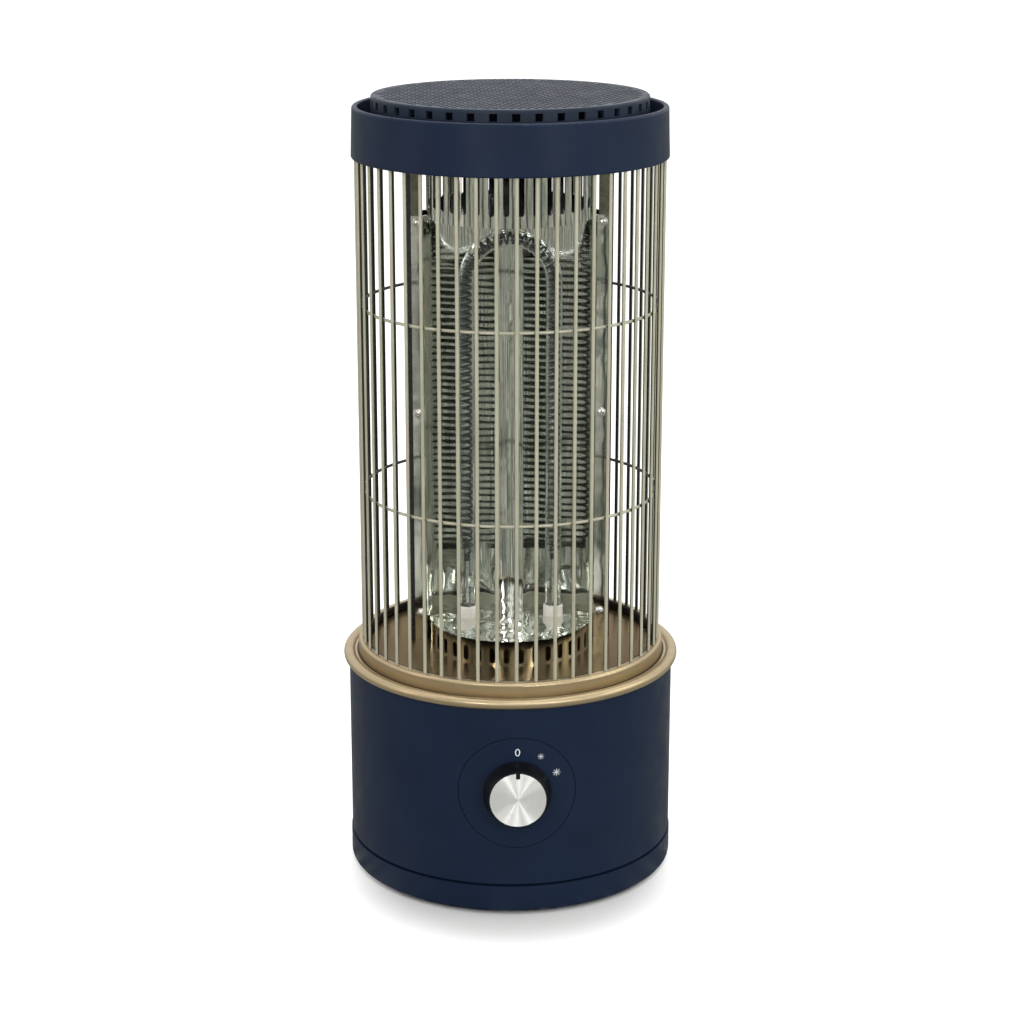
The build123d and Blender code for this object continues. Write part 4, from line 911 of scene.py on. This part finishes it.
def hole_sides(first, outer, inner):
    """The four sides of a square hole, as quads of (row, column).

    The hole is two rows wide from its first row, and its columns in the outer and inner wall are given.
    """
    low, high = outer, outer + 1
    inner_high, inner_low = inner, inner + 1
    last = first + 2
    sides = [
        [(first, low), (first, inner_low), (first, inner_high), (first, high)],
        [(last, low), (last, high), (last, inner_high), (last, inner_low)],
    ]
    for row in (first, first + 1):
        sides.append([(row, low), (row + 1, low), (row + 1, inner_low), (row, inner_low)])
        sides.append([(row, high), (row, inner_high), (row + 1, inner_high), (row + 1, high)])
    return sides


def grille_cup():
    """Wall and rim of the grille: its section carried round the axis, with square holes left out."""
    half = np.degrees(GRILLE_HOLE / 2 / GRILLE_RADIUS)
    pitch = 360 / GRILLE_HOLE_COUNT
    beside = (half + pitch / 2) / 2
    in_pitch = np.array([-half, 0, half, beside, pitch / 2, pitch - beside])
    starts = np.arange(GRILLE_HOLE_COUNT)
    angle = np.radians((starts[:, None] * pitch - 90 + in_pitch[None, :]).ravel())
    radius, level = grille_section().T
    points = np.stack(
        [
            radius[None, :] * np.cos(angle)[:, None],
            radius[None, :] * np.sin(angle)[:, None],
            np.broadcast_to(level, (len(angle), len(level))),
        ],
        -1,
    )
    rows, columns = points.shape[:2]
    outer_hole, inner_hole = 1, columns - 3
    quads = grid_faces(rows, columns, close_rows=True, close_columns=True)
    row, column = np.divmod(np.arange(rows * columns), columns)
    in_hole = np.isin(row % len(in_pitch), (0, 1)) & np.isin(column, (outer_hole, inner_hole))
    sides = [side for start in starts * len(in_pitch) for side in hole_sides(start, outer_hole, inner_hole)]
    quads = np.concatenate([quads[~in_hole], np.array(sides) @ (columns, 1)])
    piece = shell("grille_cup", points, quads, "dark_grille")
    crisp(piece, 30)
    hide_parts("top_grille")


def add_ring(curve, centre, radius, sides):
    """Adds a closed ring of straight runs to a flat curve."""
    corners = np.zeros((sides, 4))
    corners[:, :2] = circle_profile(radius, sides) + centre
    corners[:, 3] = 1
    ring = curve.splines.new("POLY")
    ring.points.add(sides - 1)
    ring.points.foreach_set("co", corners.ravel())
    ring.use_cyclic_u = True


def grille_mesh():
    """Perforated sheet: a flat outline with round holes on a lattice of equal triangles, made thick."""
    pitch, hole_radius, margin = 5.0 * MM, 1.8 * MM, 2.6 * MM
    half_sheet, depth = 0.5 * MM, 0.6 * MM
    rim_corners, hole_corners = 180, 10
    reach = GRILLE_RADIUS - 2.4 * MM
    curve = bpy.data.curves.new("grille_mesh_outline", "CURVE")
    curve.dimensions = "2D"
    curve.fill_mode = "BOTH"
    curve.extrude = half_sheet
    count = int(reach / pitch) + 2
    column, row = np.meshgrid(np.arange(-count, count + 1), np.arange(-count, count + 1))
    x = (column + 0.5 * (row % 2)) * pitch
    y = row * pitch * np.sqrt(0.75)
    inside = np.hypot(x, y) < reach - margin
    add_ring(curve, (0, 0), reach, rim_corners)
    for centre in np.stack([x[inside], y[inside]], -1):
        add_ring(curve, centre, hole_radius, hole_corners)
    outline = bpy.data.objects.new("grille_mesh_outline", curve)
    bpy.context.scene.collection.objects.link(outline)
    evaluated = outline.evaluated_get(bpy.context.evaluated_depsgraph_get())
    mesh = bpy.data.meshes.new_from_object(evaluated)
    bpy.data.objects.remove(outline)
    points = np.zeros(len(mesh.vertices) * 3, np.float32)
    mesh.vertices.foreach_get("co", points)
    points[2::3] += GRILLE_TOP - depth
    mesh.vertices.foreach_set("co", points)
    mesh.update()
    new_piece("grille_mesh", mesh, "dark_grille", "heater")


# Dial marks: 0, a small star for half power and a large one for full power
def on_dial(flat, lift):
    """Lays flat points (right, up) on the round front of the base, a small lift above its surface."""
    radius = BASE_RADIUS + lift
    return np.stack([flat[..., 0], -np.sqrt(radius**2 - flat[..., 0] ** 2), DIAL_LEVEL + flat[..., 1]], -1)


def dial_zero():
    """The figure 0: a slim ring between two ovals, with a skin in front and sides down to the dial."""
    sides = 40
    middle = np.array([0.2, 28.4]) * MM
    outer = middle + circle_profile(1, sides) * (1.65 * MM, 2.6 * MM)
    inner = middle + circle_profile(1, sides) * (1.0 * MM, 1.95 * MM)
    rings = [
        on_dial(outer, 0.0),
        on_dial(outer, MARK_HEIGHT),
        on_dial(inner, MARK_HEIGHT),
        on_dial(inner, 0.0),
    ]
    quads = grid_faces(len(rings), sides, close_rows=True, close_columns=True)
    shell("dial_zero", np.stack(rings), quads[:, ::-1], "dial_ink", smooth=False)


def dial_star(name, clock_angle, distance, size):
    """A star with eight rays: a disc whose radius swings between the ray tips and the hollows."""
    sides, ray_count, sharpness, hollow = 96, 8, 8, 0.2
    angle = np.arange(sides) * TURN / sides
    ray = abs(np.cos(ray_count / 2 * angle)) ** sharpness
    radius = size * (hollow + (1 - hollow) * ray)
    turn = np.radians(clock_angle)
    middle = distance * np.array([np.sin(turn), np.cos(turn)])
    edge = circle_profile(1, sides) * radius[:, None]
    rings = [
        on_dial(middle + edge, 0.0),
        on_dial(middle + edge, MARK_HEIGHT),
        on_dial(middle + edge * 0.5, MARK_HEIGHT),
        on_dial(middle + edge * 0, MARK_HEIGHT),
    ]
    quads = grid_faces(len(rings), sides, close_columns=True)
    shell(name, np.stack(rings), quads[:, ::-1], "dial_ink", smooth=False)


# Tip-over switch's spring
def tip_spring():
    """A wire helix between the plunger's collar and the guide's roof, with closed end turns.

    It rides on no body of the frame, and its points are set in the heater's frame.
    """
    turn_count, closed_turns, steps, sides = 6, 0.8, 24, 10
    radius, wire = 5.25 * MM, 0.45 * MM
    low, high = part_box("tip_spring")
    middle = (low + high) / 2
    turns = np.linspace(0, turn_count, turn_count * steps + 1)
    angle = turns * TURN
    rise = np.clip((turns - closed_turns) / (turn_count - 2 * closed_turns), 0, 1)
    closing = 0.2 * wire * (turns - turn_count / 2) / (turn_count / 2)
    level = low.z + wire + (high.z - low.z - 2 * wire) * rise + closing
    path = np.stack([middle.x + radius * np.cos(angle), middle.y + radius * np.sin(angle), level], -1)
    across = np.stack([np.cos(angle), np.sin(angle), 0 * angle], -1)
    piece = round_wire("plunger_spring", path, across, wire, sides, "plain_steel", body=None)
    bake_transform(piece)
    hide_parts("tip_spring")


glass_tube()
wound_wire()
reflector_sheet()
all_screws()
ring_welds()
grille_cup()
grille_mesh()
dial_zero()
dial_star("dial_half_power", clock_angle=31.5, distance=29.4 * MM, size=2.3 * MM)
dial_star("dial_full_power", clock_angle=63, distance=28.9 * MM, size=2.9 * MM)
tip_spring()


# Stage: a pale floor with a painted glow, a painted shadow and painted reflections
def painted_floor_glow(tree, point):
    """How strongly the floor glows with painted light, which the camera alone sees.

    It leaves a painted shadow round a point a little in front of the axis, and brightens over a few
    centimetres.
    """
    shadow_middle = (0, -0.053, 0)
    shadow_edge = (0.075, 0.13)
    full_glow = 0.5
    ahead = tree.nodes.new("ShaderNodeVectorMath")
    ahead.operation = "DISTANCE"
    ahead.inputs[1].default_value = shadow_middle
    tree.links.new(point, ahead.inputs[0])
    return mapped(tree, ahead.outputs["Value"], shadow_edge, (0.0, full_glow), smooth=True)


def painted_reflections(tree, point):
    """Painted reflections: a glow of patches over the bearing and the distance, which polished metal mirrors
    on the floor.

    The patches are narrow round the heater's axis and long away from it.
    """
    per_radian, per_metre = 16.0, 5.0
    shades = ((0.36, (0.07, 0.08, 0.065)), (0.5, (0.42, 0.43, 0.38)), (0.68, (1.0, 1.0, 0.95)))
    parts = tree.nodes.new("ShaderNodeSeparateXYZ")
    spot = tree.nodes.new("ShaderNodeCombineXYZ")
    tree.links.new(point, parts.inputs["Vector"])
    bearing = number_of(tree, "ARCTAN2", parts.outputs["X"], parts.outputs["Y"])
    tree.links.new(bearing, spot.inputs["X"])
    tree.links.new(length_of(tree, point), spot.inputs["Y"])
    patches = noise(tree, scaled(tree, spot.outputs["Vector"], (per_radian, per_metre, 1.0)), 1.0, 2.0)
    glow = tree.nodes.new("ShaderNodeEmission")
    tree.links.new(colour_ramp(tree, patches, shades), glow.inputs["Color"])
    return glow.outputs["Emission"]


def floor_paint():
    """Pale matt paint with a painted glow that the camera alone sees; other light finds a dimmer matt copy of
    the floor, with painted reflections for polished metal to mirror.
    """
    material, tree, shader = finish_of("floor_paint", (0.62, 0.62, 0.62), 0.0, 0.6)
    point = object_point(tree)
    shader.inputs["Specular IOR Level"].default_value = 0.2
    shader.inputs["Emission Color"].default_value = (1, 1, 1, 1)
    tree.links.new(painted_floor_glow(tree, point), shader.inputs["Emission Strength"])
    matt = tree.nodes.new("ShaderNodeBsdfDiffuse")
    matt.inputs["Color"].default_value = (0.42, 0.42, 0.4, 1)
    ray = tree.nodes.new("ShaderNodeLightPath")
    unseen = mixed(tree, ray.outputs["Is Glossy Ray"], matt.outputs["BSDF"], painted_reflections(tree, point))
    both = mixed(tree, ray.outputs["Is Camera Ray"], unseen, shader.outputs["BSDF"])
    tree.links.new(both, tree.nodes["Material Output"].inputs["Surface"])
    return material


def studio_floor():
    """One flat square, far wider than the view."""
    corners = [(x * FLOOR_REACH, y * FLOOR_REACH, 0) for x, y in ((-1, -1), (1, -1), (1, 1), (-1, 1))]
    mesh = bpy.data.meshes.new("studio_floor")
    mesh.from_pydata(corners, [], [(0, 1, 2, 3)])
    mesh.materials.append(floor_paint())
    floor = bpy.data.objects.new("studio_floor", mesh)
    bpy.context.scene.collection.objects.link(floor)


# Light: a white room, dimmer behind the camera, and soft boxes above and beside the heater
def white_room():
    """World light: bright behind and above the heater, dimmer and patchy in front of it.

    Light that comes by way of a second surface finds the front brighter, as between polished sheets, and
    the camera itself sees plain white.
    """
    front_once, front_twice, bright = 0.16, 0.75, 1.1
    world = bpy.data.worlds.new("white_room")
    bpy.context.scene.world = world
    world.use_nodes = True
    tree = world.node_tree
    way = tree.nodes.new("ShaderNodeTexCoord").outputs["Generated"]
    ray = tree.nodes.new("ShaderNodeLightPath")
    parts = tree.nodes.new("ShaderNodeSeparateXYZ")
    tree.links.new(way, parts.inputs["Vector"])
    bounced = mapped(tree, ray.outputs["Ray Depth"], (1.0, 2.0), (front_once, front_twice))
    patches = mapped(tree, noise(tree, way, 3.5, 2.0), (0.42, 0.58), (0.1, 2.2))
    front = number_of(tree, "MULTIPLY", bounced, patches)
    seen = number_of(tree, "MAXIMUM", front, ray.outputs["Is Camera Ray"])
    strength = mapped(tree, parts.outputs["Y"], (-1.0, 0.3), (seen, bright), smooth=True)
    back = tree.nodes["Background"]
    back.inputs["Color"].default_value = (1, 1, 1, 1)
    tree.links.new(strength, back.inputs["Strength"])


def soft_box(name, place, aim_height, size, power, color=(1, 1, 1)):
    """A rectangular lamp that the camera doesn't see, turned towards a height on the heater's axis."""
    lamp = bpy.data.lights.new(name, "AREA")
    lamp.shape = "RECTANGLE"
    lamp.size, lamp.size_y = size
    lamp.energy = power
    lamp.color = color
    holder = bpy.data.objects.new(name, lamp)
    holder.location = place
    way = Vector((0, 0, aim_height)) - Vector(place)
    holder.rotation_euler = way.to_track_quat("-Z", "Y").to_euler()
    holder.visible_camera = False
    bpy.context.scene.collection.objects.link(holder)


studio_floor()
white_room()
rosy, greenish = (1, 0.84, 0.8), (0.94, 1, 0.8)
soft_box("overhead_box", (0.12, 0.5, 2.3), aim_height=0.2, size=(1.8, 1.8), power=28)
soft_box("front_fill", (0.2, -1.9, 1.6), aim_height=0.25, size=(0.2, 0.9), power=7)
soft_box("left_box", (-1.7, -0.5, 0.9), aim_height=0.25, size=(0.5, 1.6), power=4.0, color=rosy)
soft_box("right_box", (1.7, -0.1, 1.1), aim_height=0.25, size=(0.6, 1.0), power=5.0, color=greenish)
soft_box("front_left_strip", (-0.5, -1.25, 0.62), aim_height=0.1, size=(0.07, 0.2), power=3.0)
soft_box("front_right_strip", (0.64, -1.2, 0.62), aim_height=0.1, size=(0.07, 0.2), power=3.0)
soft_box("side_strip", (1.25, -0.55, 0.62), aim_height=0.3, size=(0.2, 0.4), power=1.2)


# Camera
def photo_camera():
    """The photograph's camera: a little above and to the left of the heater's front, looking down."""
    turn = np.radians(-2.35)
    look_down = np.radians(16.23)
    distance, aside, height = 1.562, 0.0011, 0.700
    camera = bpy.data.objects.new("photo_camera", bpy.data.cameras.new("photo_camera"))
    camera.data.lens = 84.4
    camera.data.sensor_width = 36
    camera.data.clip_end = 200
    camera.location = (
        distance * np.sin(turn) + aside * np.cos(turn),
        -distance * np.cos(turn) + aside * np.sin(turn),
        height,
    )
    camera.rotation_euler = (np.pi / 2 - look_down, 0, turn)
    bpy.context.scene.collection.objects.link(camera)
    bpy.context.scene.camera = camera


photo_camera()
bpy.context.scene.view_settings.view_transform = "Standard"
